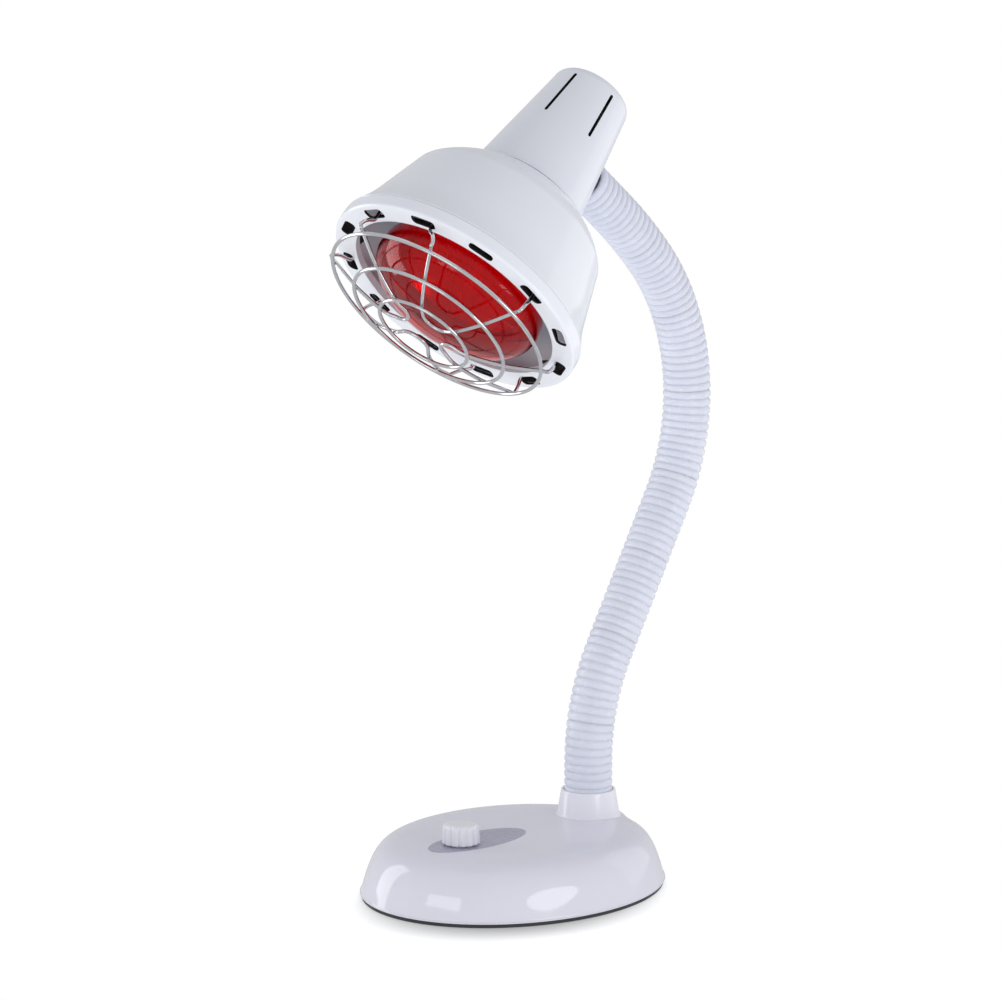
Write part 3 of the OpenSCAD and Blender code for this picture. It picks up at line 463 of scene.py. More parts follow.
def cutter(i, verts, faces, looks):
    """An object that cuts, whose faces leave the last of a piece's looks on what they cut."""
    mesh = bpy.data.meshes.new("cutter")
    mesh.from_pydata([Vector(v) * MM for v in verts], [], faces)
    for look_used in looks:
        mesh.materials.append(look_used)
    for polygon in mesh.polygons:
        polygon.material_index = len(looks) - 1
    return into_scene(bpy.data.objects.new("cutter_%d" % i, mesh))


def cut(obj, solids):
    """Takes solids away from a piece and keeps the result as its mesh."""
    tools = []
    for i, (verts, faces) in enumerate(solids):
        tools.append(cutter(i, verts, faces, obj.data.materials))
        step = obj.modifiers.new("cut_%d" % i, "BOOLEAN")
        step.operation = "DIFFERENCE"
        step.solver = "EXACT"
        step.object = tools[-1]
    weigh = obj.modifiers.new("weigh", "WEIGHTED_NORMAL")
    weigh.keep_sharp = True
    bpy.context.view_layer.update()
    graph = bpy.context.evaluated_depsgraph_get()
    made = bpy.data.meshes.new_from_object(obj.evaluated_get(graph))
    obj.modifiers.clear()
    obj.data = made
    for tool in tools:
        bpy.data.objects.remove(tool)
    return obj


# ---------- materials ----------
# the part of a noise texture's range over which colour and roughness change
NOISE_LOW = 0.3
NOISE_HIGH = 0.7
CLOUD_DETAIL = 3.0
FILM_DETAIL = 4.0
FILM_FINER = 4
GRAIN_DETAIL = 2.0

LOOKS = {}


def mapped(tree, source, low, high, start=0.0, end=1.0, smooth=False):
    """A value that goes from low to high while a source goes from start to end."""
    step = tree.nodes.new("ShaderNodeMapRange")
    if smooth:
        step.interpolation_type = "SMOOTHSTEP"
    step.inputs["From Min"].default_value = start
    step.inputs["From Max"].default_value = end
    step.inputs["To Min"].default_value = low
    step.inputs["To Max"].default_value = high
    tree.links.new(source, step.inputs["Value"])
    return step.outputs["Result"]


def noise(tree, scale, detail, stretch=None):
    """A noise texture over the piece's own coordinates, in features per metre."""
    place = tree.nodes.new("ShaderNodeTexCoord")
    texture = tree.nodes.new("ShaderNodeTexNoise")
    texture.inputs["Scale"].default_value = scale
    texture.inputs["Detail"].default_value = detail
    source = place.outputs["Object"]
    if stretch:
        mapping = tree.nodes.new("ShaderNodeMapping")
        mapping.inputs["Scale"].default_value = stretch
        tree.links.new(source, mapping.inputs["Vector"])
        source = mapping.outputs["Vector"]
    tree.links.new(source, texture.inputs["Vector"])
    return texture.outputs["Fac"]


def tint(tree, source, dark, light):
    """A colour between two that follows a texture."""
    ramp = tree.nodes.new("ShaderNodeValToRGB")
    ramp.color_ramp.elements[0].position = NOISE_LOW
    ramp.color_ramp.elements[0].color = (*dark, 1)
    ramp.color_ramp.elements[1].position = NOISE_HIGH
    ramp.color_ramp.elements[1].color = (*light, 1)
    tree.links.new(source, ramp.inputs["Fac"])
    return ramp.outputs["Color"]


def look(name, colour, rough, vary=0.03, patches=25.0, rough_vary=0.2, grain=0.0, grain_scale=900.0,
         grain_depth=0.05, stretch=None, **sockets):
    """Makes the material of that name, with patches in its colour and roughness, and a fine grain in its
    surface."""
    made = bpy.data.materials.new(name)
    made.use_nodes = True
    tree = made.node_tree
    shader = tree.nodes["Principled BSDF"]
    for key, value in sockets.items():
        shader.inputs[key.replace("_", " ")].default_value = value
    cloud = noise(tree, patches, CLOUD_DETAIL, stretch)
    dark = [c * (1 - vary) for c in colour]
    light = [min(c * (1 + vary), 1.0) for c in colour]
    tree.links.new(tint(tree, cloud, dark, light), shader.inputs["Base Color"])
    film = noise(tree, patches * FILM_FINER, FILM_DETAIL, stretch)
    smoothest, roughest = rough * (1 - rough_vary), rough * (1 + rough_vary)
    roughness = mapped(tree, film, smoothest, roughest, NOISE_LOW, NOISE_HIGH)
    tree.links.new(roughness, shader.inputs["Roughness"])
    if grain:
        bump = tree.nodes.new("ShaderNodeBump")
        bump.inputs["Strength"].default_value = grain
        bump.inputs["Distance"].default_value = grain_depth * MM
        tree.links.new(noise(tree, grain_scale, GRAIN_DETAIL, stretch), bump.inputs["Height"])
        tree.links.new(bump.outputs["Normal"], shader.inputs["Normal"])
    LOOKS[name] = made


look("black_rubber", (0.03, 0.03, 0.035), 0.65, grain=0.5, vary=0.15)
look("zinc_steel", (0.62, 0.63, 0.66), 0.32, Metallic=1.0, grain=0.3, vary=0.08, patches=60)
look("dark_steel", (0.10, 0.11, 0.12), 0.38, Metallic=0.6, grain=0.3, vary=0.12)
look("iron", (0.20, 0.20, 0.21), 0.7, Metallic=0.8, grain=0.9, grain_scale=500, vary=0.15)
look("body_plastic", (0.75, 0.745, 0.845), 0.07, vary=0.012, grain=0.12, grain_scale=260, grain_depth=0.02)
look("head_paint", (0.875, 0.90, 0.97), 0.08, vary=0.012, grain=0.12, grain_scale=320, grain_depth=0.02)
look("neck_plastic", (0.83, 0.855, 0.93), 0.1, vary=0.012, grain=0.12, grain_scale=320, grain_depth=0.02)
# painted highlight: the body plastic made lighter for the collar, for the light that falls on it
look("body_plastic_painted_lighter", (0.88, 0.875, 0.96), 0.09, vary=0.012, grain=0.12, grain_scale=320, grain_depth=0.02)
look("badge_finish", (0.39, 0.385, 0.50), 0.28, vary=0.04, patches=45, grain=0.2)
look("knob_plastic", (0.80, 0.80, 0.87), 0.2, vary=0.012, grain=0.15, grain_scale=600, grain_depth=0.02)
look("control_plastic", (0.13, 0.15, 0.21), 0.55, grain=0.4, vary=0.08)
look("board", (0.05, 0.22, 0.10), 0.4, grain=0.3, vary=0.12, patches=120)
look("copper", (0.55, 0.27, 0.12), 0.3, Metallic=0.7, grain=0.6, grain_scale=1500, vary=0.12)
look("capacitor_film", (0.55, 0.10, 0.06), 0.25, grain=0.2, vary=0.08)
look("heat_sink_aluminium", (0.75, 0.76, 0.78), 0.25, Metallic=1.0, grain=0.3, vary=0.05, stretch=(1, 12, 1))
look("terminal_plastic", (0.80, 0.80, 0.76), 0.5, grain=0.3, vary=0.04)
look("arm_steel", (0.58, 0.59, 0.62), 0.3, Metallic=1.0, grain=0.3, vary=0.08)
look("hose_plastic", (0.75, 0.775, 0.90), 0.24, vary=0.03, patches=70, grain=0.25, grain_scale=420,
     grain_depth=0.05, Subsurface_Weight=0.35, Subsurface_Radius=(1.0, 1.05, 1.25), Subsurface_Scale=0.004)
look("guard_chrome", (0.68, 0.69, 0.72), 0.11, Metallic=1.0, vary=0.05, patches=90, grain=0.1)
look("porcelain", (0.86, 0.85, 0.81), 0.2, grain=0.2, vary=0.03)
look("brass", (0.78, 0.60, 0.30), 0.3, Metallic=1.0, grain=0.3, vary=0.08)
look("red_glass", (0.98, 0.025, 0.055), 0.02, vary=0.05, patches=18, IOR=1.33, Transmission_Weight=1.0)
look("clear_glass", (0.90, 0.94, 0.94), 0.03, vary=0.02, IOR=1.5, Transmission_Weight=0.9)
# painted shade: a near-black look on inner faces where shade falls, behind the slots and inside the neck
look("painted_shade_inside", (0.012, 0.012, 0.014), 0.7, vary=0.2, grain=0.4)
look("tungsten", (0.40, 0.38, 0.36), 0.45, Metallic=1.0, grain=0.4, grain_scale=2500)


def dress_cad_nodes():
    """Gives every CAD node the material of its slot."""
    for row in frame["record"]["subparts"]:
        mesh = frame["nodes"][row["node"]].data
        mesh.materials.clear()
        mesh.materials.append(LOOKS[row["material_slot"]])


# ---------- base ----------
def dome_z(share, rise):
    """The dome's height at a share of the way from its middle to its edge."""
    return PAD_T + rise * max(1 - share ** DOME_SQUARE, 0.0) ** DOME_EDGE


def seat_lift(x, y, z):
    """The dome's height with a fillet that rises to the collar's seat."""
    reach = math.hypot(x, y - HOSE_Y)
    t = min(max((SEAT_R + SEAT_FILLET - reach) / SEAT_FILLET, 0.0), 1.0)
    return z + max(SEAT_Z - z, 0.0) * t * t * (3 - 2 * t)


def dome_rings():
    """The cover's rings, from its top over its lip to its underside: two radii, the height, and whether
    the ring rises to the collar's seat."""
    shares = [math.sin(math.radians(90) * (i / DOME_STEPS) ** DOME_SPACING) for i in range(1, DOME_STEPS + 1)]
    outer = [(BASE_RX * s, BASE_RY * s, dome_z(s, DOME_RISE), True) for s in shares]
    outer = [row for row in outer if row[2] > LIP_Z + LIP_START]
    lip = [(BASE_RX - d, BASE_RY - d, LIP_Z + h, False) for d, h in LIP_PROFILE]
    inner = []
    for s in reversed(shares):
        z = dome_z(s, DOME_RISE - SHELL_WALL)
        inner.append(((BASE_RX - SHELL_WALL) * s, (BASE_RY - SHELL_WALL) * s, z, False))
    return outer + lip + inner


def base_shell():
    """The oval cover, with the inlet's bore and pocket in its rear."""
    rings = dome_rings()
    verts = []
    for rx, ry, z, lifted in rings:
        for x, y in oval(rx, ry, SIDES_FINE):
            verts.append((x, y, seat_lift(x, y, z) if lifted else z))
    verts += [(0, 0, PAD_T + DOME_RISE), (0, 0, PAD_T + DOME_RISE - SHELL_WALL)]
    faces = [tuple(reversed(face)) for face in pointed(len(rings), SIDES_FINE)]
    obj = add_mesh("base_cover", verts, faces, "body_plastic", "base", ["base_shell"], sharp=60)
    start, end = INLET_CUT
    bore = prism(oval(INLET_BOSS_BORE, INLET_BOSS_BORE, SIDES_SMALL), start, end, INLET)
    pocket = prism(oval(INLET_POCKET_R, INLET_POCKET_R, SIDES_SMALL), INLET_BOSS_L, end, INLET)
    return cut(obj, [bore, pocket])


def inlet_boss():
    """The boss on the shell that the cord's inlet bush sits in."""
    r, high = INLET_BOSS_R, INLET_BOSS_L
    edge = [(r, high - INLET_EDGE), (r - 0.1, high - 0.1), (r - INLET_EDGE, high)]
    outline = [(r, 0)] + edge + [(INLET_BOSS_BORE, high), (INLET_BOSS_BORE, 0)]
    verts, faces = turned(outline, SIDES_SMALL)
    return add_mesh("inlet_boss", verts, faces, "body_plastic", "base", ["base_shell"], sharp=40, place=INLET)


def pad():
    """The dark pad that shows as a thin line under the cover."""
    levels = ((PAD_INSET + PAD_EDGE, 0), (PAD_INSET, PAD_EDGE), (PAD_INSET, LIP_Z + PAD_HIDDEN))
    verts = []
    for inset, z in levels:
        verts += [(x, y, z) for x, y in oval(BASE_RX - inset, BASE_RY - inset, SIDES_PLAIN)]
    faces = capped(len(levels), SIDES_PLAIN)
    return add_mesh("dark_pad", verts, faces, "black_rubber", "base", ["base_pad"])


def badge():
    """The bare oval plate, with a thin edge that catches the light."""
    top = PAD_T + DOME_RISE
    verts = []
    for inset, z in BADGE_PROFILE:
        for x, y in oval(BADGE_W / 2 - inset, BADGE_L / 2 - inset, SIDES_PLAIN):
            verts.append((x, y - BADGE_Y, top + z))
    faces = capped(len(BADGE_PROFILE), SIDES_PLAIN)
    return add_mesh("badge_oval", verts, faces, "badge_finish", "base", ["badge_plate"])


def flute(side):
    """How deep the flutes are at a side of the knob, from 0 on a ridge to 1 in a flute's middle."""
    phase = abs((side % FLUTE_SIDES) / FLUTE_SIDES - 0.5) * 2
    groove = max((phase - FLUTE_RIDGE) / (1 - FLUTE_RIDGE), 0.0)
    return groove * groove * (3 - 2 * groove)


def knob():
    """A fluted knob. The flutes run out below its rounded top edge."""
    sides = FLUTES * FLUTE_SIDES
    verts = []
    for radius, z, depth in KNOB_PROFILE:
        for j in range(sides):
            a = 2 * math.pi * j / sides
            r = radius - FLUTE_DEPTH * depth * flute(j)
            verts.append((r * math.cos(a), r * math.sin(a) - KNOB_Y, KNOB_Z + z))
    faces = capped(len(KNOB_PROFILE), sides)
    return add_mesh("fluted_knob", verts, faces, "knob_plastic", "knob", ["knob"], sharp=50)


def collar():
    """The cone that the hose comes out of, with a lip at its foot."""
    top_r = COLLAR_TOP_D / 2
    foot_r = COLLAR_FOOT_D / 2
    lip_r = COLLAR_LIP_D / 2
    corners = [
        (lip_r - 1, -COLLAR_SUNK, 0),
        (lip_r - 0.6, -COLLAR_SUNK, 0),
        (lip_r - 0.7, 0.3, 0.5),
        (foot_r, COLLAR_LIP_H, 1.2),
        (top_r, COLLAR_H, 0.5),
        (top_r - COLLAR_WALL, COLLAR_H, 0.4),
        (top_r - COLLAR_WALL - 0.05, -COLLAR_SUNK, 0),
    ]
    verts, faces = turned(rounded(corners, COLLAR_ROUND_STEPS), SIDES_MORE)
    place = Matrix.Translation((0, HOSE_Y, SEAT_Z))
    # the collar takes the lighter copy of the body plastic, a painted highlight
    return add_mesh("collar_ring", verts, faces, "body_plastic_painted_lighter", "base", ["collar"], place=place)


# ---------- hose ----------
def hose_at(s):
    """Place and lean of the hose's centre line at a distance along it."""
    y, z, lean = HOSE_Y, HOSE_Z, 0.0
    for i, (length, end) in enumerate(HOSE_RUNS):
        last = i == len(HOSE_RUNS) - 1
        step = s if last or s <= length else length
        turn = end - lean
        now = lean + turn * step / length
        a, b = math.radians(lean), math.radians(now)
        if abs(turn) < 0.01:
            y, z = y + step * math.sin(b), z + step * math.cos(b)
        else:
            r = length / math.radians(turn)
            y, z = y + r * (math.cos(a) - math.cos(b)), z + r * (math.sin(b) - math.sin(a))
        if last or s <= length:
            return y, z, now
        s -= length
        lean = end


def rib_radius(u):
    """Radius of the hose at a share of a rib's pitch, where 0 and 1 are the middles of grooves."""
    t = min(min(u, 1 - u) / RIB_FLANK, 1.0)
    return HOSE_R - RIB_DEPTH * (1 - math.sin(t * math.pi / 2)) - RIB_CROWN * (2 * u - 1) ** 2


def hose_stations(first_rib, last_rib):
    """The rings of a length of hose: up its ribs, and back down its bore."""
    stations = []
    for rib in range(first_rib, last_rib):
        for u in RIB_MARKS:
            stations.append(((rib + u) * RIB_PITCH, rib_radius(u)))
    stations.append((last_rib * RIB_PITCH, rib_radius(0.0)))
    for rib in range(last_rib, first_rib - 1, -1):
        stations.append((rib * RIB_PITCH, HOSE_BORE_R))
    return stations


def hose_piece(i, joint_rib, first_rib, last_rib):
    """Ribbed hose between two ribs, round joint i."""
    stations = hose_stations(first_rib, last_rib)
    verts = []
    for s, r in stations:
        y, z, lean = hose_at(s)
        a = math.radians(lean)
        for across, along in oval(r, r, HOSE_SIDES):
            verts.append((across, y + along * math.cos(a), z - along * math.sin(a)))
    nodes = ["hose_%d" % i] if i > 1 else ["hose_0", "hose_1"]
    faces = skin(len(stations), HOSE_SIDES, True)
    obj = add_mesh("ribbed_hose_%d" % i, verts, faces, "hose_plastic", None, nodes, sharp=80)
    joint = joint_rib * RIB_PITCH
    for s in (joint - BLEND_RIBS * RIB_PITCH, joint + BLEND_RIBS * RIB_PITCH):
        y, z, lean = hose_at(s)
    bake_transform(obj)
    return obj


def hose():
    """The whole hose, a piece over each of the arm's joints."""
    for i in range(1, JOINTS + 1):
        joint_rib = STUB_RIBS + (i - 1) * LINK_RIBS
        first = 0 if i == 1 else joint_rib - RIBS_BELOW_JOINT
        last = joint_rib + STUB_RIBS if i == JOINTS else joint_rib + RIBS_ABOVE_JOINT
        hose_piece(i, joint_rib, first, last)


# ---------- head ----------
def shoulder_arc(r, z, top_r, top_z):
    """The shade's shoulder, from a radius and height to those of its top."""
    points = []
    for i in range(SHOULDER_STEPS):
        a = math.radians(90 * i / SHOULDER_STEPS)
        out = (r - top_r) * math.cos(a) ** SHOULDER_POWER
        up = (top_z - z) * math.sin(a) ** SHOULDER_POWER
        points.append((top_r + out, z + up))
    return points + [(top_r, top_z)]


def shade_side():
    """The side from the rim to the waist, which is very slightly hollow."""
    start = BEZEL_H + RIM_STEP
    points = [(SHADE_RIM_R - RIM_EDGE, BEZEL_H + RIM_EDGE), (SHADE_RIM_R, start)]
    for i in range(1, SIDE_STEPS + 1):
        t = i / SIDE_STEPS
        r = SHADE_RIM_R + (WAIST_R - SHADE_RIM_R) * (t + SIDE_HOLLOW * math.sin(math.pi * t))
        points.append((r, start + (WAIST_Z - start) * t))
    return points


def shade():
    """The bell, with a sleeve that the bezel fits over. Its inside near the rim has painted shade."""
    sleeve_r = SHADE_RIM_R - BEZEL_WALL - SLEEVE_GAP
    inner_r = sleeve_r - SHADE_WALL
    top_r = NECK_FOOT_R - 1
    hole_r = BULB_STEM_R + 1
    inner_low = BEZEL_H + 1
    outer = [(sleeve_r, SLEEVE_START), (sleeve_r, BEZEL_H)] + shade_side()
    outer += shoulder_arc(SHOULDER_R, SHOULDER_Z, top_r, SHADE_H) + [(hole_r, SHADE_H)]
    share = (PAINTED_SHADE_TO - inner_low) / (WAIST_Z - inner_low)
    waist_r = WAIST_R - SHADE_WALL
    dark_r = inner_r + (waist_r - inner_r) * share
    inner = [(inner_r, SLEEVE_START), (inner_r, inner_low), (dark_r, PAINTED_SHADE_TO), (waist_r, WAIST_Z)]
    inner += shoulder_arc(SHOULDER_R - SHADE_WALL, SHOULDER_Z, top_r - SHADE_WALL, SHADE_H - SHADE_WALL)
    inner += [(hole_r, SHADE_H - SHADE_WALL)]
    verts, faces = turned(outer + inner[::-1], SIDES_FINE)

    def near_rim(face):
        """Whether a face is on the inside, below the painted shade's height at its angle."""
        x, y, z = face[0]
        lit = LIT_FROM < math.degrees(math.atan2(y, x)) % 360 < LIT_TO
        high = (inner_low if lit else PAINTED_SHADE_TO) + 0.1
        return all(z < high and math.hypot(x, y) < inner_r + 0.01 for x, y, z in face)

    return add_mesh("shade_bell", verts, faces, "head_paint", "head", ["shade"], sharp=50, place=HEAD,
                    inside=near_rim)


def slot_outline():
    """A slot of the bezel, an oblong with round corners."""
    half_w, half_l = SLOT_W / 2 - SLOT_CORNER_R, SLOT_L / 2 - SLOT_CORNER_R
    points = []
    for side_x, side_y, start in ((1, 1, 0), (-1, 1, 90), (-1, -1, 180), (1, -1, 270)):
        for k in range(SLOT_STEPS + 1):
            a = math.radians(start + 90 / SLOT_STEPS * k)
            points.append((side_x * half_w + SLOT_CORNER_R * math.cos(a),
                           side_y * half_l + SLOT_CORNER_R * math.sin(a)))
    return points


def slot_cutters():
    """The solids that cut the bezel's slots."""
    cutters = []
    for i in range(SLOTS):
        turn = Matrix.Rotation(math.radians(SLOT_TURN + 360 / SLOTS * i), 4, "Z")
        place = HEAD @ turn @ Matrix.Translation((SLOT_RING_R, 0, 0))
        cutters.append(prism(slot_outline(), *SLOT_CUT, place))
    return cutters


def bezel():
    """The slotted ring over the shade's rim. The channel between its walls has painted shade inside, so the
    slots read dark.
    """
    r = SHADE_RIM_R + BEZEL_LAP
    wall_r = r - BEZEL_WALL
    lip_r = OPENING_R + BEZEL_WALL
    corners = [
        (OPENING_R, 0.2, 0),
        (OPENING_R + OPENING_EDGE, 0, OPENING_EDGE),
        (r - BEZEL_FACE_EDGE, 0, 0),
        (r, 0, BEZEL_ROUND),
        (r, BEZEL_H, 0.3),
        (wall_r, BEZEL_H, 0),
        (wall_r, BEZEL_WALL + CHANNEL_FILLET, 0),
        (wall_r - CHANNEL_FILLET, BEZEL_WALL, 0),
        (lip_r, BEZEL_WALL, 0),
        (lip_r, OPENING_LIP_H, 0),
        (OPENING_R, OPENING_LIP_H, 0),
    ]
    verts, faces = turned(rounded(corners, BEZEL_ROUND_STEPS), SIDES_FINE)
    faces = [tuple(reversed(face)) for face in faces]
    near, far = OPENING_R + CHANNEL_MARGIN, r - CHANNEL_MARGIN

    def channel(face):
        """Whether a face is in the channel behind the slots, which takes the painted shade."""
        return all(z > BEZEL_WALL - 0.1 and near < math.hypot(x, y) < far for x, y, z in face)

    obj = add_mesh("slotted_bezel", verts, faces, "head_paint", "head", ["bezel"], sharp=40, place=HEAD,
                   inside=channel)
    return cut(obj, slot_cutters())


def neck_rounding(r, z):
    """The rounded edge at the top of a wall of a radius and a height."""
    points = []
    for i in range(NECK_STEPS + 1):
        a = math.radians(90 / NECK_STEPS * i)
        points.append((r - NECK_ROUND + NECK_ROUND * math.cos(a), z - NECK_ROUND + NECK_ROUND * math.sin(a)))
    return points


def vent_outline():
    """A cooling slot of the neck, with round ends."""
    end = []
    for k in range(VENT_STEPS + 1):
        a = math.radians(180 / VENT_STEPS * k)
        end.append((VENT_W / 2 * math.cos(a), VENT_L / 2 - VENT_W / 2 + VENT_W / 2 * math.sin(a)))
    return end + [(-x, -y) for x, y in end]


def vent_cutters(start_r, top_z):
    """The solids that cut the neck's slots, from a radius outwards."""
    lie = Matrix.Translation((start_r, 0, top_z - VENT_TOP - VENT_L / 2)) @ STANDING
    cutters = []
    for i in VENT_PLACES:
        turn = Matrix.Rotation(math.radians(VENT_TURN + VENT_STEP * i), 4, "Z")
        cutters.append(prism(vent_outline(), *VENT_CUT, HEAD @ turn @ lie))
    return cutters


def neck():
    """The slotted cone behind the shade. Its inside has painted shade."""
    top_z = SHADE_H + NECK_L
    inner_top = NECK_TOP_R - NECK_WALL
    inner = [(NECK_FOOT_R - NECK_WALL, SHADE_H)] + neck_rounding(inner_top, top_z - NECK_WALL)
    outer = [(NECK_FOOT_R + out, SHADE_H + up) for out, up in NECK_FLANGE] + neck_rounding(NECK_TOP_R, top_z)
    outline = [(0, top_z - NECK_WALL + NECK_CROWN)] + inner[::-1] + outer + [(0, top_z + NECK_CROWN)]
    verts, faces = turned(outline, SIDES_FINE)
    taper = (NECK_FOOT_R - NECK_TOP_R) / NECK_L

    def hollow(face):
        """Whether a face is on the inside, where the painted shade goes, both at the rounded top and along
        the cone.
        """
        for x, y, z in face:
            r, over = math.hypot(x, y), z - (top_z - NECK_ROUND)
            if over > 0 and math.hypot(max(r - NECK_TOP_R + NECK_ROUND, 0), over) > NECK_ROUND - 1:
                return False
            if r + (z - SHADE_H) * taper > NECK_FOOT_R - 1:
                return False
        return True

    obj = add_mesh("neck_cone", verts, faces, "neck_plastic", "head", ["neck_housing"], sharp=40, place=HEAD,
                   inside=hollow)
    return cut(obj, vent_cutters(inner_top - VENT_CUT_START, top_z))


# ---------- guard ----------
def guard_rings():
    """The guard's three rings in one piece."""
    shift_x, shift_y = GUARD_SHIFT
    verts, faces = [], []
    for radius, ahead in GUARD_RINGS:
        start = len(verts)
        for i in range(SIDES_MORE):
            a = 2 * math.pi * i / SIDES_MORE
            for out, up in oval(WIRE_D / 2, WIRE_D / 2, RING_SIDES):
                r = radius + out
                verts.append((r * math.cos(a) + shift_x, r * math.sin(a) + shift_y, -ahead + up))
        for face in skin(SIDES_MORE, RING_SIDES, True):
            faces.append(tuple(start + v for v in face))
    nodes = ["guard_ring_outer", "guard_ring_middle", "guard_ring_inner"]
    return add_mesh("guard_hoops", verts, faces, "guard_chrome", "head", nodes, place=HEAD)


def leg(foot, lean):
    """A leg's points from its foot in a slot to the inner ring. It turns from one angle to another."""
    foot_r = SLOT_RING_R - SLOT_W / 2 + WIRE_D / 2 - 0.1
    (r1, h1), (r2, h2), (r3, h3) = GUARD_RINGS
    # each point: its radius, how far ahead of the bezel it is, and its share of the turn and the shift
    marks = (
        (foot_r, -3.5, 0),
        (foot_r, 1.5, 0),
        (r1 + 2.3, 5, 0.6),
        (r1 + 3.3, h1 - 4, 1),
        (r1 + 2, h1 - 2.3, 1),
        (r1, h1 - WIRE_UNDER, 1),
        (r2, h2 - WIRE_UNDER, 1),
        (r3, h3 - WIRE_UNDER, 1),
    )
    points = []
    for r, ahead, share in marks:
        a = math.radians(foot + (lean - foot) * share)
        x = r * math.cos(a) + GUARD_SHIFT[0] * share
        y = r * math.sin(a) + GUARD_SHIFT[1] * share
        points.append(Vector((x, y, -ahead)))
    return points


def inner_bend(middle, half):
    """The bend between two legs, round the guard's middle."""
    lift = math.sin(math.radians(half))
    r = GUARD_BEND_R * lift / (1 - lift)
    z = -GUARD_RINGS[2][1] + WIRE_UNDER
    turn = Matrix.Rotation(math.radians(middle), 4, "Z")
    points = []
    for i in range(BEND_STEPS + 1):
        a = math.radians(-90 - half - (180 - 2 * half) * i / BEND_STEPS)
        p = turn @ Vector((GUARD_BEND_R + r + r * math.cos(a), r * math.sin(a), z))
        points.append(p + Vector((*GUARD_SHIFT, 0)))
    return points


def guard_wires():
    """The guard's four bent wires in one piece."""
    verts, faces = [], []
    for middle, half, foot_a, foot_b in GUARD_WIRES:
        path = leg(foot_a, middle - half) + inner_bend(middle, half) + leg(foot_b, middle + half)[::-1]
        more, links = swept(smooth_path(path, WIRE_STEPS), WIRE_D / 2, WIRE_SIDES)
        start = len(verts)
        verts += more
        faces += [tuple(start + v for v in face) for face in links]
    return add_mesh("guard_legs", verts, faces, "guard_chrome", "head", ["guard_wires"], sharp=50, place=HEAD)


# ---------- bulb ----------
def bulb_side(inset):
    """The glass from its face to its cap, drawn in by an inset."""
    wide = BULB_FACE_H - BULB_OUT
    face = []
    for i in range(FACE_STEPS + 1):
        a = math.radians(90 / FACE_STEPS * i)
        face.append(((BULB_R - inset) * math.sin(a), wide - (BULB_FACE_H - inset) * math.cos(a)))
    marks = [
        (BULB_R, wide),
        (BULB_R - 1.2, wide + 7),
        (BULB_R - 3.6, wide + 13),
        (BULB_R - 7.5, wide + 20),
        (BULB_STEM_R + 7, wide + 43),
        (BULB_STEM_R + 1, wide + 57),
        (BULB_STEM_R - 0.5, wide + 67),
        (BULB_STEM_R - 1.5, CAP_Z - 7),
        (CAP_D / 2 + 0.9, CAP_Z),
    ]
    path = smooth_path([Vector((r, z, 0)) for r, z in marks], BACK_STEPS)
    back = [(p.x - inset, p.y) for p in path]
    return face, back


def bulb():
    """A ruby face, and behind its widest place a back that is mirrored inside."""
    outer_face, outer_back = bulb_side(0)
    inner_face, inner_back = bulb_side(GLASS_T)
    front = outer_face + outer_back[1:SEAM_STEPS]
    front_in = inner_face + inner_back[1:SEAM_STEPS]
    verts, faces = turned(front + front_in[::-1], SIDES_MORE)
    add_mesh("bulb_face", verts, faces, "red_glass", "head", ["bulb_glass"], sharp=60, place=HEAD)
    rear = outer_back[SEAM_STEPS - 1:]
    rear_in = inner_back[SEAM_STEPS - 1:]
    verts, faces = turned(rear + rear_in[::-1], SIDES_MORE)
    mirror = "heat_sink_aluminium"
    add_mesh("bulb_mirror", verts, faces, mirror, "head", ["bulb_glass"], sharp=60, place=HEAD)


# ---------- studio ----------
def seen_flag(tree):
    """1 for rays from the camera, from gloss and through glass, else 0."""
    path = tree.nodes.new("ShaderNodeLightPath")
    total = path.outputs["Is Camera Ray"]
    for name in ("Is Glossy Ray", "Is Transmission Ray"):
        step = tree.nodes.new("ShaderNodeMath")
        step.operation = "MAXIMUM"
        tree.links.new(total, step.inputs[0])
        tree.links.new(path.outputs[name], step.inputs[1])
        total = step.outputs[0]
    return total


def dimmed_in_gloss(tree):
    """1 for what is seen directly or through glass, and less for what gloss reflects."""
    path = tree.nodes.new("ShaderNodeLightPath")
    return mapped(tree, path.outputs["Is Glossy Ray"], 1.0, IN_GLOSS)


def by_height(tree):
    """The studio's brightness, which falls from the horizon to straight above."""
    place = tree.nodes.new("ShaderNodeTexCoord")
    split = tree.nodes.new("ShaderNodeSeparateXYZ")
    tree.links.new(place.outputs["Generated"], split.inputs[0])
    return mapped(tree, split.outputs["Z"], AMBIENT_LOW, AMBIENT_HIGH)


def mixed(tree, share, first, second):
    """A shader between two others."""
    mix = tree.nodes.new("ShaderNodeMixShader")
    tree.links.new(share, mix.inputs["Fac"])
    tree.links.new(first.outputs[0], mix.inputs[1])
    tree.links.new(second.outputs[0], mix.inputs[2])
    return mix


def world():
    """Soft light on the object from all sides, and white where the background is seen."""
    made = bpy.data.worlds.new("studio")
    made.use_nodes = True
    bpy.context.scene.world = made
    tree = made.node_tree
    tree.nodes.clear()
    ambient = tree.nodes.new("ShaderNodeBackground")
    ambient.inputs["Color"].default_value = AMBIENT_COLOUR
    tree.links.new(by_height(tree), ambient.inputs["Strength"])
    white = tree.nodes.new("ShaderNodeBackground")
    white.inputs["Color"].default_value = WHITE
    tree.links.new(dimmed_in_gloss(tree), white.inputs["Strength"])
    mix = mixed(tree, seen_flag(tree), ambient, white)
    out = tree.nodes.new("ShaderNodeOutputWorld")
    tree.links.new(mix.outputs[0], out.inputs["Surface"])


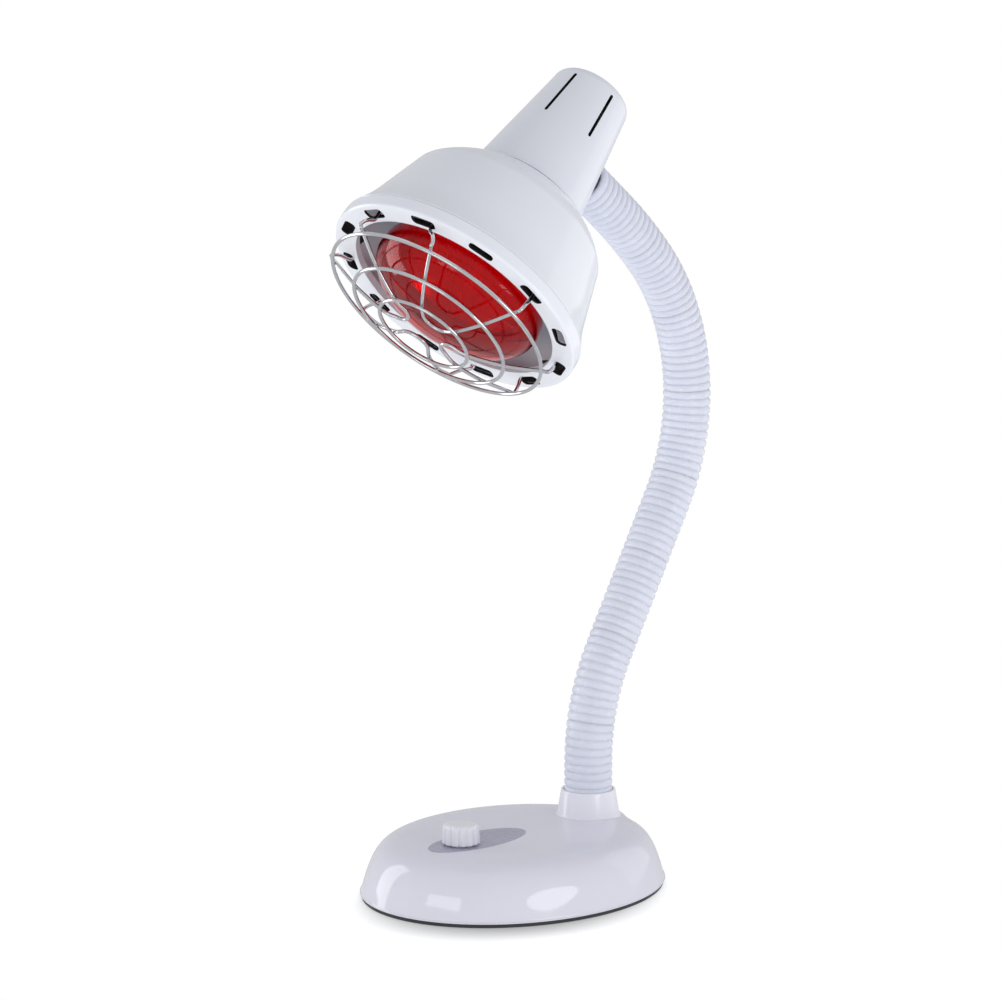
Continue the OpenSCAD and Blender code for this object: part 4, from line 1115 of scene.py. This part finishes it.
def contact(tree):
    """How far out a point of the floor lies, where 1 is the base's edge."""
    place = tree.nodes.new("ShaderNodeTexCoord")
    mapping = tree.nodes.new("ShaderNodeMapping")
    mapping.inputs["Location"].default_value = CONTACT_SHIFT
    mapping.inputs["Scale"].default_value = (1 / (BASE_RX * MM), 1 / (BASE_RY * MM), 0)
    reach = tree.nodes.new("ShaderNodeVectorMath")
    reach.operation = "LENGTH"
    tree.links.new(place.outputs["Object"], mapping.inputs["Vector"])
    tree.links.new(mapping.outputs["Vector"], reach.inputs[0])
    return reach.outputs["Value"]


def shadowed_floor(tree, reach):
    """The floor near the base, which takes shadows and has a painted shadow that darkens it under the base's
    edge.
    """
    shadow = mapped(tree, reach, CONTACT_SHADE, 1.0, *SHADE_EASES, smooth=True)
    shaded = tree.nodes.new("ShaderNodeBsdfDiffuse")
    glow = tree.nodes.new("ShaderNodeEmission")
    glow.inputs["Strength"].default_value = FLOOR_GLOW
    near = tree.nodes.new("ShaderNodeAddShader")
    tree.links.new(shadow, shaded.inputs["Color"])
    tree.links.new(shadow, glow.inputs["Color"])
    tree.links.new(shaded.outputs[0], near.inputs[0])
    tree.links.new(glow.outputs[0], near.inputs[1])
    return near


def floor_material():
    """White where the floor is seen, with shadow near the base, and an even bounce for other rays."""
    made = bpy.data.materials.new("floor_white")
    made.use_nodes = True
    tree = made.node_tree
    tree.nodes.clear()
    reach = contact(tree)
    far = tree.nodes.new("ShaderNodeEmission")
    tree.links.new(dimmed_in_gloss(tree), far.inputs["Strength"])
    white_share = mapped(tree, reach, 0.0, 1.0, *WHITE_EASES, smooth=True)
    shown = mixed(tree, white_share, shadowed_floor(tree, reach), far)
    bounce = tree.nodes.new("ShaderNodeEmission")
    bounce.inputs["Strength"].default_value = FLOOR_BOUNCE
    mix = mixed(tree, seen_flag(tree), bounce, shown)
    out = tree.nodes.new("ShaderNodeOutputMaterial")
    tree.links.new(mix.outputs[0], out.inputs["Surface"])
    return made


def floor():
    """A white floor that keeps the shadow near the object."""
    half = FLOOR_HALF
    corners = [(-half, -half, 0), (half, -half, 0), (half, half, 0), (-half, half, 0)]
    mesh = bpy.data.meshes.new("floor")
    mesh.from_pydata(corners, [], [(0, 1, 2, 3)])
    mesh.materials.append(floor_material())
    obj = into_scene(bpy.data.objects.new("floor", mesh))


def panel(name, azimuth, height, distance, wide, tall, brightness, shape):
    """A soft light of a given brightness, seen from the object's middle at an azimuth."""
    data = bpy.data.lights.new(name, "AREA")
    data.shape = shape
    data.size = wide
    data.size_y = tall
    data.energy = brightness * math.pi * wide * tall
    obj = bpy.data.objects.new(name, data)
    a = math.radians(azimuth)
    obj.location = (math.sin(a) * distance, -math.cos(a) * distance, height)
    aim = Vector((0, 0, PANEL_AIM_Z)) - obj.location
    obj.rotation_euler = aim.to_track_quat("-Z", "Y").to_euler()
    into_scene(obj)


def camera():
    """The camera at the photograph's viewing angle."""
    azimuth, elevation = math.radians(CAMERA_AZIMUTH), math.radians(CAMERA_ELEVATION)
    flat = math.cos(elevation)
    back = Vector((math.sin(azimuth) * flat, -math.cos(azimuth) * flat, math.sin(elevation)))
    data = bpy.data.cameras.new("camera")
    data.lens = CAMERA_LENS
    data.sensor_width = CAMERA_SENSOR
    data.clip_end = CAMERA_CLIP
    obj = bpy.data.objects.new("camera", data)
    obj.location = Vector(CAMERA_TARGET) * MM + back * CAMERA_DISTANCE
    obj.rotation_euler = back.to_track_quat("Z", "Y").to_euler()
    into_scene(obj)
    bpy.context.scene.camera = obj


camera()
world()
floor()
for row in PANELS:
    panel(*row)

dress_cad_nodes()
base_shell()
inlet_boss()
pad()
badge()
knob()
collar()
hose()
shade()
bezel()
neck()
guard_rings()
guard_wires()
bulb()

bpy.context.scene.view_settings.view_transform = "Standard"
